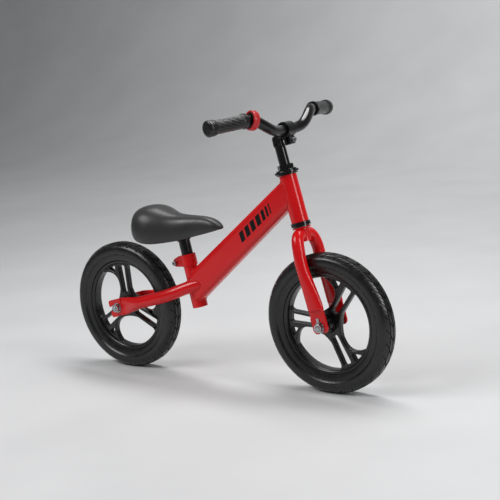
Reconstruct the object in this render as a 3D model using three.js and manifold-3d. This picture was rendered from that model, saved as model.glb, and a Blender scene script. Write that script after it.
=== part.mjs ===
// Children's balance bike with 12 inch foam wheels: an assembly of separate pieces.
// Millimetres. +X is forward, +Y is the rider's left, +Z is up. The origin is on the floor,
// midway between the two wheel centres.
import * as THREE from 'three';
import { mergeVertices } from 'three/addons/utils/BufferGeometryUtils.js';
import Module from 'manifold-3d';

const wasm = await Module();
wasm.setup();

// Driving dimensions
const GAP = 0.3;
const WHEELBASE = 544;
const TYRE_RADIUS = 145;
const TYRE_HALF_WIDTH = 22;
const TYRE_SIDES = 40;
const RIM_RADIUS = 104;
const RIM_HALF_WIDTH = 14;
const WINDOW_RADIUS = 96;
const SPOKE_HALF_DEPTH = 7;
const HUB_RADIUS = 17;
const HUB_HALF_WIDTH = 27;
const AXLE_RADIUS = 4.8;
const BEARING_RADIUS = 13;
const BEARING_WIDTH = 7;
const FRONT_SPOKE_ANGLE = 56;
const REAR_SPOKE_ANGLE = 95;

const HEAD_ANGLE = 13.1;
const HEAD_BOTTOM = [217.3, 350.5];
const HEAD_LENGTH = 98.5;
const HEAD_RADIUS = 18;
const STEERER_RADIUS = 12.7;
const STEERER_BORE = 11.4;
const STEERER_TOP = 119;
const STEERER_BOTTOM = -40;
const CROWN_TOP = -10.2;
const CROWN_THICKNESS = 2.4;
const FORK_OFFSET = 6.5;
const FORK_DROP = 212.5;
const BLADE_RADIUS = 12.5;
const BLADE_SPREAD = 36.5;

const STEM_RADIUS = 11.1;
const STEM_BOTTOM = 26;
const STEM_TOP = 178;
const CLAMP_CENTRE = [26, 186];
const CLAMP_RADIUS = 16;
const CLAMP_HALF_WIDTH = 13;
const BAR_RADIUS = 11;
const GRIP_LENGTH = 94;

const SEAT_ANGLE = 11.3;
const SEAT_BOTTOM = [-61.7, 154];
const SEAT_TUBE_LENGTH = 118;
const SEAT_TUBE_RADIUS = 15;
const SEAT_SLEEVE_RADIUS = 16.8;
const POST_RADIUS = 12.7;
const POST_BOTTOM = 38;
const POST_TOP = 160;
const SADDLE_HEIGHT = 152;
const COLLAR_BOTTOM = 93;
const COLLAR_TOP = 119;
const CLAMP_BOLT_X = -33;

const MAIN_HALF_WIDTH = 17;
const STAY_RADIUS = 13.6;
const STAY_SPREAD = 37.5;
const STAY_SLOPE = 14.4;
const PLATE_HALF_THICKNESS = 2.6;
const SPACER_RADIUS = 8.5;
const NUT_RADIUS = 9.8;
const NUT_HEIGHT = 7;

const RED = { color: 0xc2141b, roughness: 0.28, metalness: 0.1 };
const BLACK_STEEL = { color: 0x0d0d0e, roughness: 0.3, metalness: 0.3 };
const BLACK_PLASTIC = { color: 0x111112, roughness: 0.45, metalness: 0 };
const FOAM = { color: 0x1d1d1e, roughness: 0.8, metalness: 0 };
const RUBBER = { color: 0x171718, roughness: 0.7, metalness: 0 };
const PADDING = { color: 0x2c2c2e, roughness: 0.6, metalness: 0 };
const ZINC = { color: 0xb8bbbe, roughness: 0.35, metalness: 0.9 };

// Solids and geometry
function makeSolid(positions, triangles) {
  const mesh = new wasm.Mesh({ numProp: 3, vertProperties: positions, triVerts: triangles });
  return new wasm.Manifold(mesh);
}

function turnedOver(triangles) {
  const turned = triangles.slice();
  for (let i = 0; i < turned.length; i += 3) {
    turned[i + 1] = triangles[i + 2];
    turned[i + 2] = triangles[i + 1];
  }
  return turned;
}

// A closed mesh as a solid, its faces pointing out whichever way it was wound.
function outwardSolid(positions, triangles) {
  const made = makeSolid(positions, triangles);
  return made.volume() < 0 ? makeSolid(positions, turnedOver(triangles)) : made;
}

function solid(geometry) {
  const bare = geometry.clone();
  bare.deleteAttribute('normal');
  bare.deleteAttribute('uv');
  const merged = mergeVertices(bare, 1e-4);
  return outwardSolid(merged.attributes.position.array, new Uint32Array(merged.index.array));
}

function geometryOf(body) {
  const { vertProperties, triVerts } = body.getMesh();
  const geometry = new THREE.BufferGeometry();
  geometry.setAttribute('position', new THREE.BufferAttribute(vertProperties, 3));
  geometry.setIndex(new THREE.BufferAttribute(triVerts, 1));
  geometry.computeVertexNormals();
  return geometry;
}

function addPiece(group, name, body, look) {
  const mesh = new THREE.Mesh(geometryOf(body), new THREE.MeshStandardMaterial(look));
  mesh.name = name;
  group.add(mesh);
  return mesh;
}

const radians = (degrees) => THREE.MathUtils.degToRad(degrees);

// A group at (x, z) in the middle plane whose Z axis leans back by an angle.
function leaningGroup([x, z], angle) {
  const group = new THREE.Group();
  group.position.set(x, 0, z);
  group.rotation.y = -radians(angle);
  group.updateMatrixWorld(true);
  return group;
}

// The matrix that carries one group's coordinates into another's.
function between(source, target) {
  return target.matrixWorld.clone().invert().multiply(source.matrixWorld);
}

// Upright cylinder from low to high along Z, moved by a matrix where one is given.
function cylinder(radius, low, high, sides = 24, matrix = null) {
  const geometry = new THREE.CylinderGeometry(radius, radius, high - low, sides);
  geometry.rotateX(Math.PI / 2);
  geometry.translate(0, 0, (low + high) / 2);
  if (matrix) geometry.applyMatrix4(matrix);
  return solid(geometry);
}

// Cylinder along Y about (x, z), from low to high.
function crossCylinder(radius, low, high, sides = 24, x = 0, z = 0) {
  const geometry = new THREE.CylinderGeometry(radius, radius, high - low, sides);
  geometry.translate(x, (low + high) / 2, z);
  return solid(geometry);
}

// Cylinder along X at height z, from low to high.
function foreCylinder(radius, low, high, sides, z) {
  const geometry = new THREE.CylinderGeometry(radius, radius, high - low, sides);
  geometry.rotateZ(Math.PI / 2);
  geometry.translate((low + high) / 2, 0, z);
  return solid(geometry);
}

function tube(outer, bore, low, high, sides = 24) {
  return cylinder(outer, low, high, sides).subtract(cylinder(bore, low - 1, high + 1, sides));
}

function crossTube(outer, bore, low, high, sides = 24, x = 0, z = 0) {
  const hole = crossCylinder(bore, low - 1, high + 1, sides, x, z);
  return crossCylinder(outer, low, high, sides, x, z).subtract(hole);
}

function box(x0, x1, y0, y1, z0, z1) {
  const geometry = new THREE.BoxGeometry(x1 - x0, y1 - y0, z1 - z0);
  geometry.translate((x0 + x1) / 2, (y0 + y1) / 2, (z0 + z1) / 2);
  return solid(geometry);
}

// Profile of [radius, height] points turned about Y.
function turned(profile, sides, start = 0) {
  const points = profile.map(([radius, height]) => new THREE.Vector2(radius, height));
  return new THREE.LatheGeometry(points, sides, start);
}

function polygon(points) {
  return new THREE.Shape(points.map(([x, y]) => new THREE.Vector2(x, y)));
}

// Outline in the XZ plane, extruded to half a width each side of Y = 0.
function sidePlate(shape, halfWidth, bevel = 0, steps = 3, inset = 0) {
  const geometry = new THREE.ExtrudeGeometry(shape, {
    depth: 2 * (halfWidth - bevel),
    bevelEnabled: bevel > 0,
    bevelThickness: bevel,
    bevelSize: bevel,
    bevelOffset: -bevel - inset,
    bevelSegments: steps,
    curveSegments: 6,
  });
  geometry.translate(0, 0, -(halfWidth - bevel));
  geometry.rotateX(Math.PI / 2);
  return geometry;
}

function roundTube(points, radius, steps, sides) {
  const circle = new THREE.Shape();
  circle.absarc(0, 0, radius, 0, 2 * Math.PI, false);
  const path = new THREE.CatmullRomCurve3(points.map((p) => new THREE.Vector3(...p)));
  return new THREE.ExtrudeGeometry(circle, {
    steps,
    extrudePath: path,
    curveSegments: sides / 2,
  });
}

// Moves every vertex of a geometry by a function of its position.
function reshape(geometry, move) {
  const position = geometry.attributes.position;
  const point = new THREE.Vector3();
  for (let i = 0; i < position.count; i += 1) {
    point.fromBufferAttribute(position, i);
    move(point);
    position.setXYZ(i, point.x, point.y, point.z);
  }
  return geometry;
}

// Wheels
function tyreSolid() {
  const crown = TYRE_RADIUS / Math.cos(Math.PI / TYRE_SIDES);
  const half = [
    [RIM_RADIUS + GAP, RIM_HALF_WIDTH - 1],
    [116, RIM_HALF_WIDTH + 4],
    [119, TYRE_HALF_WIDTH - 1],
    [130, TYRE_HALF_WIDTH],
    [138, TYRE_HALF_WIDTH - 3],
    [crown, 9],
  ];
  const other = half.map(([radius, y]) => [radius, -y]).reverse();
  const profile = [...half, ...other, half[0]];
  return solid(turned(profile, TYRE_SIDES, Math.PI / TYRE_SIDES));
}

// One long slot between the two bars of a spoke that points along +X.
function slotOutline() {
  return [
    [27, -6],
    [88, -8.6],
    [91, -6.5],
    [91, 6.5],
    [88, 8.6],
    [27, 6],
  ];
}

// The small opening between a spoke, its curved arm and the rim.
function cornerOutline() {
  return [
    [74, 20.5],
    [91.5, 20.5],
    [85, 39],
  ];
}

function addPath(shape, points, angle) {
  const turn = radians(angle);
  const corners = points.map(([x, y]) => new THREE.Vector2(x, y).rotateAround(new THREE.Vector2(), turn));
  shape.holes.push(new THREE.Path(corners));
}

// The large opening that follows a spoke at an angle, on to the next spoke.
function addWindow(shape, angle) {
  const at = ([x, y], turn) => new THREE.Vector2(x, y).rotateAround(new THREE.Vector2(), radians(turn));
  const rim = (turn) => at([WINDOW_RADIUS, 0], angle + turn);
  const next = angle + 120;
  const path = new THREE.Path();
  const start = at([38, 14.5], angle);
  path.moveTo(start.x, start.y);
  const arm = at([50, 15], angle);
  path.lineTo(arm.x, arm.y);
  const firstPull = at([66, 16], angle);
  const secondPull = at([80, 30], angle);
  const landing = rim(38);
  path.bezierCurveTo(firstPull.x, firstPull.y, secondPull.x, secondPull.y, landing.x, landing.y);
  path.absarc(0, 0, WINDOW_RADIUS, radians(angle + 38), radians(angle + 105), false);
  const corner = at([92, -16.5], next);
  const side = at([82, -16], next);
  path.quadraticCurveTo(corner.x, corner.y, side.x, side.y);
  const low = at([38, -14.5], next);
  path.lineTo(low.x, low.y);
  const hub = at([24, 0], angle + 60);
  path.quadraticCurveTo(hub.x, hub.y, start.x, start.y);
  shape.holes.push(path);
}

function wheelWeb(spokeAngle) {
  const disc = new THREE.Shape();
  disc.absarc(0, 0, RIM_RADIUS - 3, 0, 2 * Math.PI, false);
  for (let i = 0; i < 3; i += 1) {
    const angle = spokeAngle + 120 * i;
    addPath(disc, slotOutline(), angle);
    addPath(disc, cornerOutline(), angle);
    addWindow(disc, angle);
  }
  return solid(sidePlate(disc, SPOKE_HALF_DEPTH));
}

function rimSolid() {
  const profile = [
    [WINDOW_RADIUS, -SPOKE_HALF_DEPTH - 2],
    [WINDOW_RADIUS + 4, -RIM_HALF_WIDTH],
    [RIM_RADIUS, -RIM_HALF_WIDTH],
    [RIM_RADIUS, RIM_HALF_WIDTH],
    [WINDOW_RADIUS + 4, RIM_HALF_WIDTH],
    [WINDOW_RADIUS, SPOKE_HALF_DEPTH + 2],
    [WINDOW_RADIUS, -SPOKE_HALF_DEPTH - 2],
  ];
  return solid(turned(profile, TYRE_SIDES, Math.PI / TYRE_SIDES));
}

function wheelSolid(spokeAngle) {
  const hub = crossCylinder(HUB_RADIUS, -HUB_HALF_WIDTH, HUB_HALF_WIDTH, 24);
  const bore = crossCylinder(AXLE_RADIUS + 3, -HUB_HALF_WIDTH - 1, HUB_HALF_WIDTH + 1, 20);
  const seat = BEARING_RADIUS + GAP;
  const depth = BEARING_WIDTH + 1;
  const rightSeat = crossCylinder(seat, -HUB_HALF_WIDTH - 1, -HUB_HALF_WIDTH + depth, 20);
  const leftSeat = crossCylinder(seat, HUB_HALF_WIDTH - depth, HUB_HALF_WIDTH + 1, 20);
  const whole = wheelWeb(spokeAngle).add(rimSolid()).add(hub);
  return whole.subtract(bore).subtract(rightSeat).subtract(leftSeat);
}

function addWheel(root, end, x, spokeAngle) {
  const group = new THREE.Group();
  group.position.set(x, 0, TYRE_RADIUS);
  root.add(group);
  addPiece(group, `${end}_wheel`, wheelSolid(spokeAngle), BLACK_PLASTIC);
  addPiece(group, `${end}_tyre`, tyreSolid(), FOAM);
  for (const [side, sign] of [['right', -1], ['left', 1]]) {
    const outer = sign * HUB_HALF_WIDTH;
    const inner = sign * (HUB_HALF_WIDTH - BEARING_WIDTH);
    const low = Math.min(outer, inner);
    const body = crossTube(BEARING_RADIUS, AXLE_RADIUS + GAP, low, low + BEARING_WIDTH, 20);
    addPiece(group, `${end}_hub_bearing_${side}`, body, ZINC);
  }
  return group;
}

// Axle, and on each side a spacer, a washer and a nut about the flattened tube end.
function axleEnds(halfSpan) {
  const plateIn = halfSpan - PLATE_HALF_THICKNESS;
  const plateOut = halfSpan + PLATE_HALF_THICKNESS;
  return { plateIn, plateOut, nutIn: plateOut + 2, nutOut: plateOut + 2 + NUT_HEIGHT };
}

function addAxleSet(group, end, x, z, halfSpan, washerBody) {
  const { plateIn, plateOut, nutIn, nutOut } = axleEnds(halfSpan);
  const tip = nutOut + 2;
  addPiece(group, `${end}_axle`, crossCylinder(AXLE_RADIUS, -tip, tip, 16, x, z), ZINC);
  for (const [side, sign] of [['right', -1], ['left', 1]]) {
    const span = (near, far) => (sign < 0 ? [-far, -near] : [near, far]);
    const spacer = span(HUB_HALF_WIDTH + GAP, plateIn - GAP);
    const nut = span(nutIn, nutOut);
    const washer = span(plateOut + GAP, nutIn - GAP);
    const bore = AXLE_RADIUS + GAP;
    const sleeve = crossTube(SPACER_RADIUS, bore, ...spacer, 16, x, z);
    addPiece(group, `${end}_axle_spacer_${side}`, sleeve, ZINC);
    addPiece(group, `${end}_axle_washer_${side}`, washerBody(bore, ...washer, x, z), ZINC);
    addPiece(group, `${end}_axle_nut_${side}`, hexNut(bore, ...nut, x, z), ZINC);
  }
}

function hexNut(bore, low, high, x, z) {
  const blank = crossCylinder(NUT_RADIUS, low, high, 6, x, z);
  return blank.subtract(crossCylinder(bore, low - 1, high + 1, 16, x, z));
}

function plainWasher(bore, low, high, x, z) {
  return crossTube(11, bore, low, high, 20, x, z);
}

// Washer with a tab that hooks into the fork tip above the axle.
function tabWasher(bore, low, high, x, z) {
  const tab = box(x - 3, x + 3, low, high, z + 5, z + 19);
  const round = crossCylinder(11, low, high, 20, x, z);
  return round.add(tab).subtract(crossCylinder(bore, low - 1, high + 1, 20, x, z));
}

// Frame
function headTube() {
  return tube(HEAD_RADIUS, STEERER_RADIUS + 2.3, 0, HEAD_LENGTH, 24);
}

// Big flat-sided tube with round edges; its ends are cut to the head tube and the seat tube.
function mainTube(root, steering, seat) {
  const outline = polygon([
    [205, 450.5],
    [-84, 224.5],
    [-76, 180],
    [-54, 168],
    [214, 391],
  ]);
  const outer = solid(sidePlate(outline, MAIN_HALF_WIDTH, 9, 4));
  const inner = solid(sidePlate(outline, MAIN_HALF_WIDTH - 2, 7, 3, 2));
  const headCut = cylinder(HEAD_RADIUS + GAP, -60, 160, 24, between(steering, root));
  const aheadOfHead = solid(new THREE.BoxGeometry(120, 80, 400)
    .translate(60, 0, 0)
    .applyMatrix4(between(steering, root)));
  const tubeCut = cylinder(SEAT_SLEEVE_RADIUS + GAP, -60, 160, 24, between(seat, root));
  const behindSeat = solid(new THREE.BoxGeometry(120, 80, 400)
    .translate(-60, 0, 0)
    .applyMatrix4(between(seat, root)));
  const shell = outer.subtract(inner);
  return shell.subtract(headCut).subtract(aheadOfHead).subtract(tubeCut).subtract(behindSeat);
}

function seatTube() {
  const sleeve = cylinder(SEAT_SLEEVE_RADIUS, 0, 62, 24);
  const upper = cylinder(SEAT_TUBE_RADIUS, 60, SEAT_TUBE_LENGTH, 24);
  return sleeve.add(upper).subtract(cylinder(POST_RADIUS + GAP, -1, SEAT_TUBE_LENGTH + 1, 24));
}

// Collar with two ears behind the tube and a slit between them.
function seatClamp() {
  const collar = tube(SEAT_TUBE_RADIUS + 2.2, SEAT_TUBE_RADIUS + GAP, COLLAR_BOTTOM, COLLAR_TOP, 24);
  const ears = solid(sidePlate(polygon([
    [-14, COLLAR_BOTTOM + 1],
    [-14, COLLAR_TOP],
    [-20, COLLAR_TOP],
    [-40, COLLAR_TOP - 7],
    [-40, COLLAR_BOTTOM + 4],
    [-20, COLLAR_BOTTOM + 1],
  ]), 7.5));
  const inside = cylinder(SEAT_TUBE_RADIUS + GAP, COLLAR_BOTTOM - 1, COLLAR_TOP + 1, 24);
  const slit = box(-50, -10, -1.5, 1.5, COLLAR_BOTTOM - 1, COLLAR_TOP + 1);
  const lip = box(-30, 30, -30, 30, COLLAR_TOP - 0.7, COLLAR_TOP + 5);
  const hole = crossCylinder(3.3, -20, 20, 16, CLAMP_BOLT_X, COLLAR_BOTTOM + 12);
  return collar.add(ears).subtract(inside).subtract(slit).subtract(lip).subtract(hole);
}

function seatClampBolt() {
  const x = CLAMP_BOLT_X;
  const z = COLLAR_BOTTOM + 12;
  const shank = crossCylinder(3, -10, 13, 16, x, z);
  const head = crossCylinder(5.2, -15, -7.8, 20, x, z);
  const socket = crossCylinder(2.6, -16, -12, 6, x, z);
  return shank.add(head).subtract(socket);
}

function seatClampNut() {
  const x = CLAMP_BOLT_X;
  const z = COLLAR_BOTTOM + 12;
  return crossCylinder(5.6, 7.8, 12.4, 6, x, z).subtract(crossCylinder(3.3, 7, 13, 16, x, z));
}

// Chainstay in a frame with its origin on the rear axle and X along the stay.
function chainstay(sign, seat, stays) {
  const path = [
    [232, sign * 4, 5],
    [212, sign * 13.5, 5],
    [192, sign * 21.5, 3.5],
    [166, sign * 30.5, 0.5],
    [136, sign * 35.5, -1],
    [96, sign * STAY_SPREAD, -1.2],
    [60, sign * STAY_SPREAD, -0.8],
    [-24, sign * STAY_SPREAD, 0],
  ];
  const press = (point) => {
    const flat = 1 - THREE.MathUtils.smoothstep(point.x, 14, 62);
    const thin = PLATE_HALF_THICKNESS / STAY_RADIUS;
    point.y = sign * STAY_SPREAD + (point.y - sign * STAY_SPREAD) * (1 - flat * (1 - thin));
    point.z *= 1 + 0.45 * flat;
  };
  const outer = solid(reshape(roundTube(path, STAY_RADIUS, 22, 14), press));
  const bore = solid(roundTube(path.slice(0, 6), STAY_RADIUS - 2, 10, 8));
  const slot = box(-40, 0, -60, 60, -5.2, 5.2).add(crossCylinder(5.2, -60, 60, 20));
  const seatCut = cylinder(SEAT_SLEEVE_RADIUS + GAP, -60, 160, 24, between(seat, stays));
  const middle = new THREE.BoxGeometry(120, 2 * (MAIN_HALF_WIDTH + GAP), 300).translate(60, 0, 0);
  const mainCut = solid(middle.applyMatrix4(between(seat, stays)));
  return outer.subtract(bore).subtract(slot).subtract(seatCut).subtract(mainCut);
}

// Headset
function lowerCup() {
  const flange = cylinder(20.5, -8, -GAP, 24);
  const skirt = cylinder(STEERER_RADIUS + 2, -4, 9, 24);
  const recess = cylinder(17.6, -9, -3, 24);
  const bore = cylinder(STEERER_RADIUS + 0.7, -10, 10, 24);
  return flange.add(skirt).subtract(recess).subtract(bore);
}

function upperCup() {
  const flange = cylinder(22, HEAD_LENGTH + GAP, HEAD_LENGTH + 3, 24);
  const skirt = cylinder(STEERER_RADIUS + 2, HEAD_LENGTH - 9, HEAD_LENGTH + 2, 24);
  return flange.add(skirt).subtract(cylinder(STEERER_RADIUS + 0.7, 80, 110, 24));
}

// Ball ring: a thin cage with the balls standing in it.
function ballRing(low, radius) {
  let ring = tube(radius + 1, radius - 1, low + 1.6, low + 2.8, 16);
  for (let i = 0; i < 8; i += 1) {
    const angle = (2 * Math.PI * i) / 8;
    const ball = new THREE.IcosahedronGeometry(2.1, 0);
    ball.translate(radius * Math.cos(angle), radius * Math.sin(angle), low + 2.2);
    ring = ring.add(solid(ball));
  }
  return ring;
}

function crownRace() {
  return tube(17, STEERER_RADIUS + GAP, CROWN_TOP + GAP, -7.9, 24);
}

function topCap() {
  const low = HEAD_LENGTH + 3 + GAP;
  const disc = cylinder(25, low, low + 5, 24).add(cylinder(21, low + 4, low + 8, 24));
  const recess = cylinder(18.4, low - 1, low + 4.4, 24);
  return disc.subtract(recess).subtract(cylinder(STEERER_RADIUS + GAP, low - 1, low + 9, 24));
}

function locknut() {
  const low = HEAD_LENGTH + 11 + 2 * GAP;
  const body = cylinder(16, low, STEERER_TOP + 0.5, 8);
  return body.subtract(cylinder(STEERER_RADIUS + GAP, low - 1, STEERER_TOP + 1, 24));
}

// Fork
function steerer() {
  const outer = cylinder(STEERER_RADIUS, STEERER_BOTTOM, STEERER_TOP, 24);
  const seat = cylinder(19.5, CROWN_TOP - CROWN_THICKNESS, CROWN_TOP, 24);
  return outer.add(seat).subtract(cylinder(STEERER_BORE, STEERER_BOTTOM - 1, STEERER_TOP + 1, 24));
}

// Blade in the steering frame: a round tube bent out from the steerer, pressed flat at the axle.
function forkBlade(sign) {
  const path = [
    [0, sign * 7, -23.5],
    [0.5, sign * 20, -26.5],
    [1.5, sign * 29, -37],
    [2, sign * 34, -54],
    [1, sign * 36, -76],
    [1.5, sign * BLADE_SPREAD, -100],
    [4, sign * BLADE_SPREAD, -130],
    [FORK_OFFSET, sign * BLADE_SPREAD, -165],
    [FORK_OFFSET, sign * BLADE_SPREAD, -190],
    [FORK_OFFSET, sign * BLADE_SPREAD, -FORK_DROP - 13],
  ];
  const press = (point) => {
    const wide = 1 - THREE.MathUtils.smoothstep(point.z, -175, -85);
    const flat = 1 - THREE.MathUtils.smoothstep(point.z, -181, -160);
    const thin = PLATE_HALF_THICKNESS / BLADE_RADIUS;
    const side = sign * BLADE_SPREAD;
    const squeeze = (1 - 0.25 * wide) * (1 - flat) + thin * flat;
    point.y = side + (point.y - side) * (point.z < -85 ? squeeze : 1);
    point.x = FORK_OFFSET * wide + (point.x - FORK_OFFSET * wide) * (1 + 0.45 * wide);
  };
  const outer = solid(reshape(roundTube(path, BLADE_RADIUS, 22, 14), press));
  const bore = solid(roundTube(path.slice(0, 7), BLADE_RADIUS - 2.2, 9, 8));
  const steererCut = cylinder(STEERER_RADIUS + GAP, -60, 10, 24);
  const crownCut = cylinder(30, CROWN_TOP - CROWN_THICKNESS - GAP, 10, 16);
  const across = box(-60, 60, sign < 0 ? 0 : -90, sign < 0 ? 90 : 0, -90, 10);
  const slot = box(FORK_OFFSET - 5.2, FORK_OFFSET + 5.2, -60, 60, -FORK_DROP - 30, -FORK_DROP)
    .add(crossCylinder(5.2, -60, 60, 20, FORK_OFFSET, -FORK_DROP));
  const tabHole = box(FORK_OFFSET - 3.6, FORK_OFFSET + 3.6, -60, 60, -FORK_DROP + 14, -FORK_DROP + 21);
  const cut = outer.subtract(bore).subtract(steererCut).subtract(crownCut).subtract(across);
  return cut.subtract(slot).subtract(tabHole);
}

// Stem
function stem() {
  const [clampX, clampZ] = CLAMP_CENTRE;
  const quill = cylinder(STEM_RADIUS, STEM_BOTTOM, STEM_TOP - 2, 24);
  const neck = solid(sidePlate(polygon([
    [-11, STEM_TOP - 22],
    [-11, STEM_TOP - 3],
    [-8, STEM_TOP],
    [10, STEM_TOP + 8],
    [clampX - 6, STEM_TOP + 24],
    [clampX, STEM_TOP - 4],
    [13, STEM_TOP - 4],
    [11, STEM_TOP - 10],
    [11, STEM_TOP - 22],
  ]), STEM_RADIUS, 3, 2));
  const clamp = crossCylinder(CLAMP_RADIUS, -CLAMP_HALF_WIDTH, CLAMP_HALF_WIDTH, 24, clampX, clampZ);
  const ears = box(clampX - 8, clampX + 9, -8, 8, clampZ - 31, clampZ - 10);
  const barHole = crossCylinder(BAR_RADIUS + GAP, -30, 30, 24, clampX, clampZ);
  const slit = box(clampX - 1, clampX + 2, -30, 30, clampZ - 40, clampZ);
  const pinchHole = foreCylinder(3.3, clampX - 9, clampX + 10, 16, clampZ - 23);
  const boltHole = cylinder(4.4, STEM_BOTTOM - 1, STEM_TOP + 40, 16);
  const counterbore = cylinder(7, STEM_TOP - 10, STEM_TOP + 40, 20);
  const slope = new THREE.BoxGeometry(80, 80, 40).translate(0, 0, -20);
  slope.rotateY(radians(35));
  slope.translate(0, 0, STEM_BOTTOM + 8);
  const body = quill.add(neck).add(clamp).add(ears).subtract(barHole).subtract(slit);
  return body.subtract(pinchHole).subtract(boltHole).subtract(counterbore).subtract(solid(slope));
}

function stemWedge() {
  const slope = new THREE.BoxGeometry(80, 80, 60).translate(0, 0, 30);
  slope.rotateY(radians(35));
  slope.translate(0, 0, STEM_BOTTOM + 8 - GAP - 0.1);
  const body = cylinder(STEM_RADIUS - 0.3, STEM_BOTTOM - 22, STEM_BOTTOM + 20, 24).subtract(solid(slope));
  return body.subtract(cylinder(4.4, 0, 80, 16));
}

function expanderBolt() {
  const shank = cylinder(4, STEM_BOTTOM - 20, STEM_TOP - 8, 12);
  const head = cylinder(6.5, STEM_TOP - 9.6, STEM_TOP - 2, 20);
  return shank.add(head).subtract(cylinder(3, STEM_TOP - 6, STEM_TOP, 6));
}

function pinchBolt() {
  const [clampX, clampZ] = CLAMP_CENTRE;
  const z = clampZ - 23;
  const shank = foreCylinder(3, clampX - 10, clampX + 16, 12, z);
  return shank.add(foreCylinder(5, clampX - 12, clampX - 8.3, 16, z));
}

function pinchNut() {
  const [clampX, clampZ] = CLAMP_CENTRE;
  const z = clampZ - 23;
  const blank = foreCylinder(5.8, clampX + 9.3, clampX + 14.3, 6, z);
  return blank.subtract(foreCylinder(3.3, clampX + 9, clampX + 15, 12, z));
}

// Handlebar, about the centre of its clamp
const GRIP_START = [-12.9, 118.8, 29.7];
const GRIP_END = [-35.5, 209.4, 24.6];
const BAR_HALF = [
  [0, 14, 0],
  [0, 22, 0],
  [0.6, 31, 0.2],
  [2, 46, 2.4],
  [2.4, 58, 6.6],
  [1.2, 70, 12.6],
  [-1.3, 82, 19.4],
  [-4.6, 93, 25.4],
  [-7.6, 102, 28.6],
  [-10.7, 110, 30.2],
  GRIP_START,
];

const mirrored = ([x, y, z]) => [x, -y, z];

function handlebar() {
  const start = new THREE.Vector3(...GRIP_START);
  const end = new THREE.Vector3(...GRIP_END);
  const tip = start.clone().lerp(end, (GRIP_LENGTH - 6) / GRIP_LENGTH).toArray();
  const half = [...BAR_HALF, tip];
  const path = [...half.map(mirrored).reverse(), [0, 0, 0], ...half];
  const bore = solid(roundTube(path, BAR_RADIUS - 1.8, 32, 6));
  return solid(roundTube(path, BAR_RADIUS, 32, 12)).subtract(bore);
}

// A matrix that puts Y along the bar at a point, pointing outwards on the given side.
function barMatrix(from, towards, sign) {
  const flip = sign < 0 ? mirrored : (p) => p;
  const origin = new THREE.Vector3(...flip(from));
  const direction = new THREE.Vector3(...flip(towards)).sub(origin).normalize();
  const turn = new THREE.Quaternion().setFromUnitVectors(new THREE.Vector3(0, 1, 0), direction);
  return new THREE.Matrix4().compose(origin, turn, new THREE.Vector3(1, 1, 1));
}

function grip(sign) {
  const bore = BAR_RADIUS + GAP;
  const socket = GRIP_LENGTH - 5.5;
  const profile = [[0, socket], [bore, socket], [bore, 0], [15, 0], [15.4, 4], [13.9, 6]];
  for (let i = 0; i < 4; i += 1) {
    profile.push([13.9, 12 + 18 * i]);
    profile.push([13.3, 21 + 18 * i]);
  }
  profile.push([13.9, GRIP_LENGTH - 13], [16, GRIP_LENGTH - 11], [16, GRIP_LENGTH - 3]);
  profile.push([13, GRIP_LENGTH], [0, GRIP_LENGTH]);
  return solid(turned(profile, 18).applyMatrix4(barMatrix(GRIP_START, GRIP_END, sign)));
}

const BELL_AT = [-8, 103, 28.85];
const BELL_TOWARDS = [-11.8, 113.1, 31.5];

function bellMount() {
  const profile = [[11.9, -5], [14, -5], [14, 6], [11.9, 6], [11.9, -5]];
  return solid(turned(profile, 24).applyMatrix4(barMatrix(BELL_AT, BELL_TOWARDS, -1)));
}

function bellRing() {
  const profile = [
    [14.8, -6],
    [17, -7],
    [19.2, -4],
    [19.8, 0],
    [19.2, 4],
    [17, 7],
    [14.8, 6],
    [14.8, -6],
  ];
  return solid(turned(profile, 24).applyMatrix4(barMatrix(BELL_AT, BELL_TOWARDS, -1)));
}

// Saddle, about the top of the seat post. Each cross-section is [x, top, lower edge, half width].
const SADDLE_SECTIONS = [
  [-120, 44, 30, 14],
  [-119, 54, 17, 28],
  [-114, 62.5, 9, 41],
  [-106, 69, 3.5, 50],
  [-94, 73, -1, 57],
  [-78, 74.5, -4.5, 60.5],
  [-61, 72.8, -5.5, 58.5],
  [-45, 67.5, -5, 52.5],
  [-30, 61, -3.5, 44.5],
  [-15, 56.8, -2, 37],
  [2, 54.8, 0.5, 31],
  [20, 54, 4.5, 26],
  [38, 53.4, 8.8, 22.6],
  [56, 52.8, 13.2, 20.4],
  [72, 51.2, 17, 19],
  [86, 47.8, 20.4, 17.4],
  [97, 42.2, 23.4, 14],
  [105, 36, 25.8, 9],
  [109.5, 31.5, 28, 4],
];
const SHELL_SPAN = [-64, 42];
const SHELL_CEILING = 19.5;

// Height of the hollow under one cross-section; it clears the hard shell plate where that sits.
function saddleCeiling([x, top, low]) {
  const tall = top - low;
  const height = tall > 16 ? Math.min(low + Math.max(0.3 * tall, 5), top - 6) : low + 0.35 * tall;
  const overShell = x > SHELL_SPAN[0] && x < SHELL_SPAN[1];
  return overShell ? Math.max(height, SHELL_CEILING) : height;
}

// Cross-section as [share of the half width, height], over the top, round the edge and in below.
function saddleSection(section) {
  const [, top, low, wide] = section;
  const tall = top - low;
  const ceiling = saddleCeiling(section);
  const half = [
    [0, top],
    [0.44, top - 0.035 * tall],
    [0.8, top - 0.2 * tall],
    [0.975, top - 0.5 * tall],
    [1, top - 0.66 * tall],
    [0.955, top - 0.9 * tall],
    [0.85, low],
    [0.75, low + 0.06 * tall],
    [0.68, ceiling],
    [0, ceiling],
  ].map(([share, z]) => [wide * share, z]);
  const other = half.slice(1, -1).map(([y, z]) => [-y, z]).reverse();
  return [...half, ...other];
}

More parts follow.
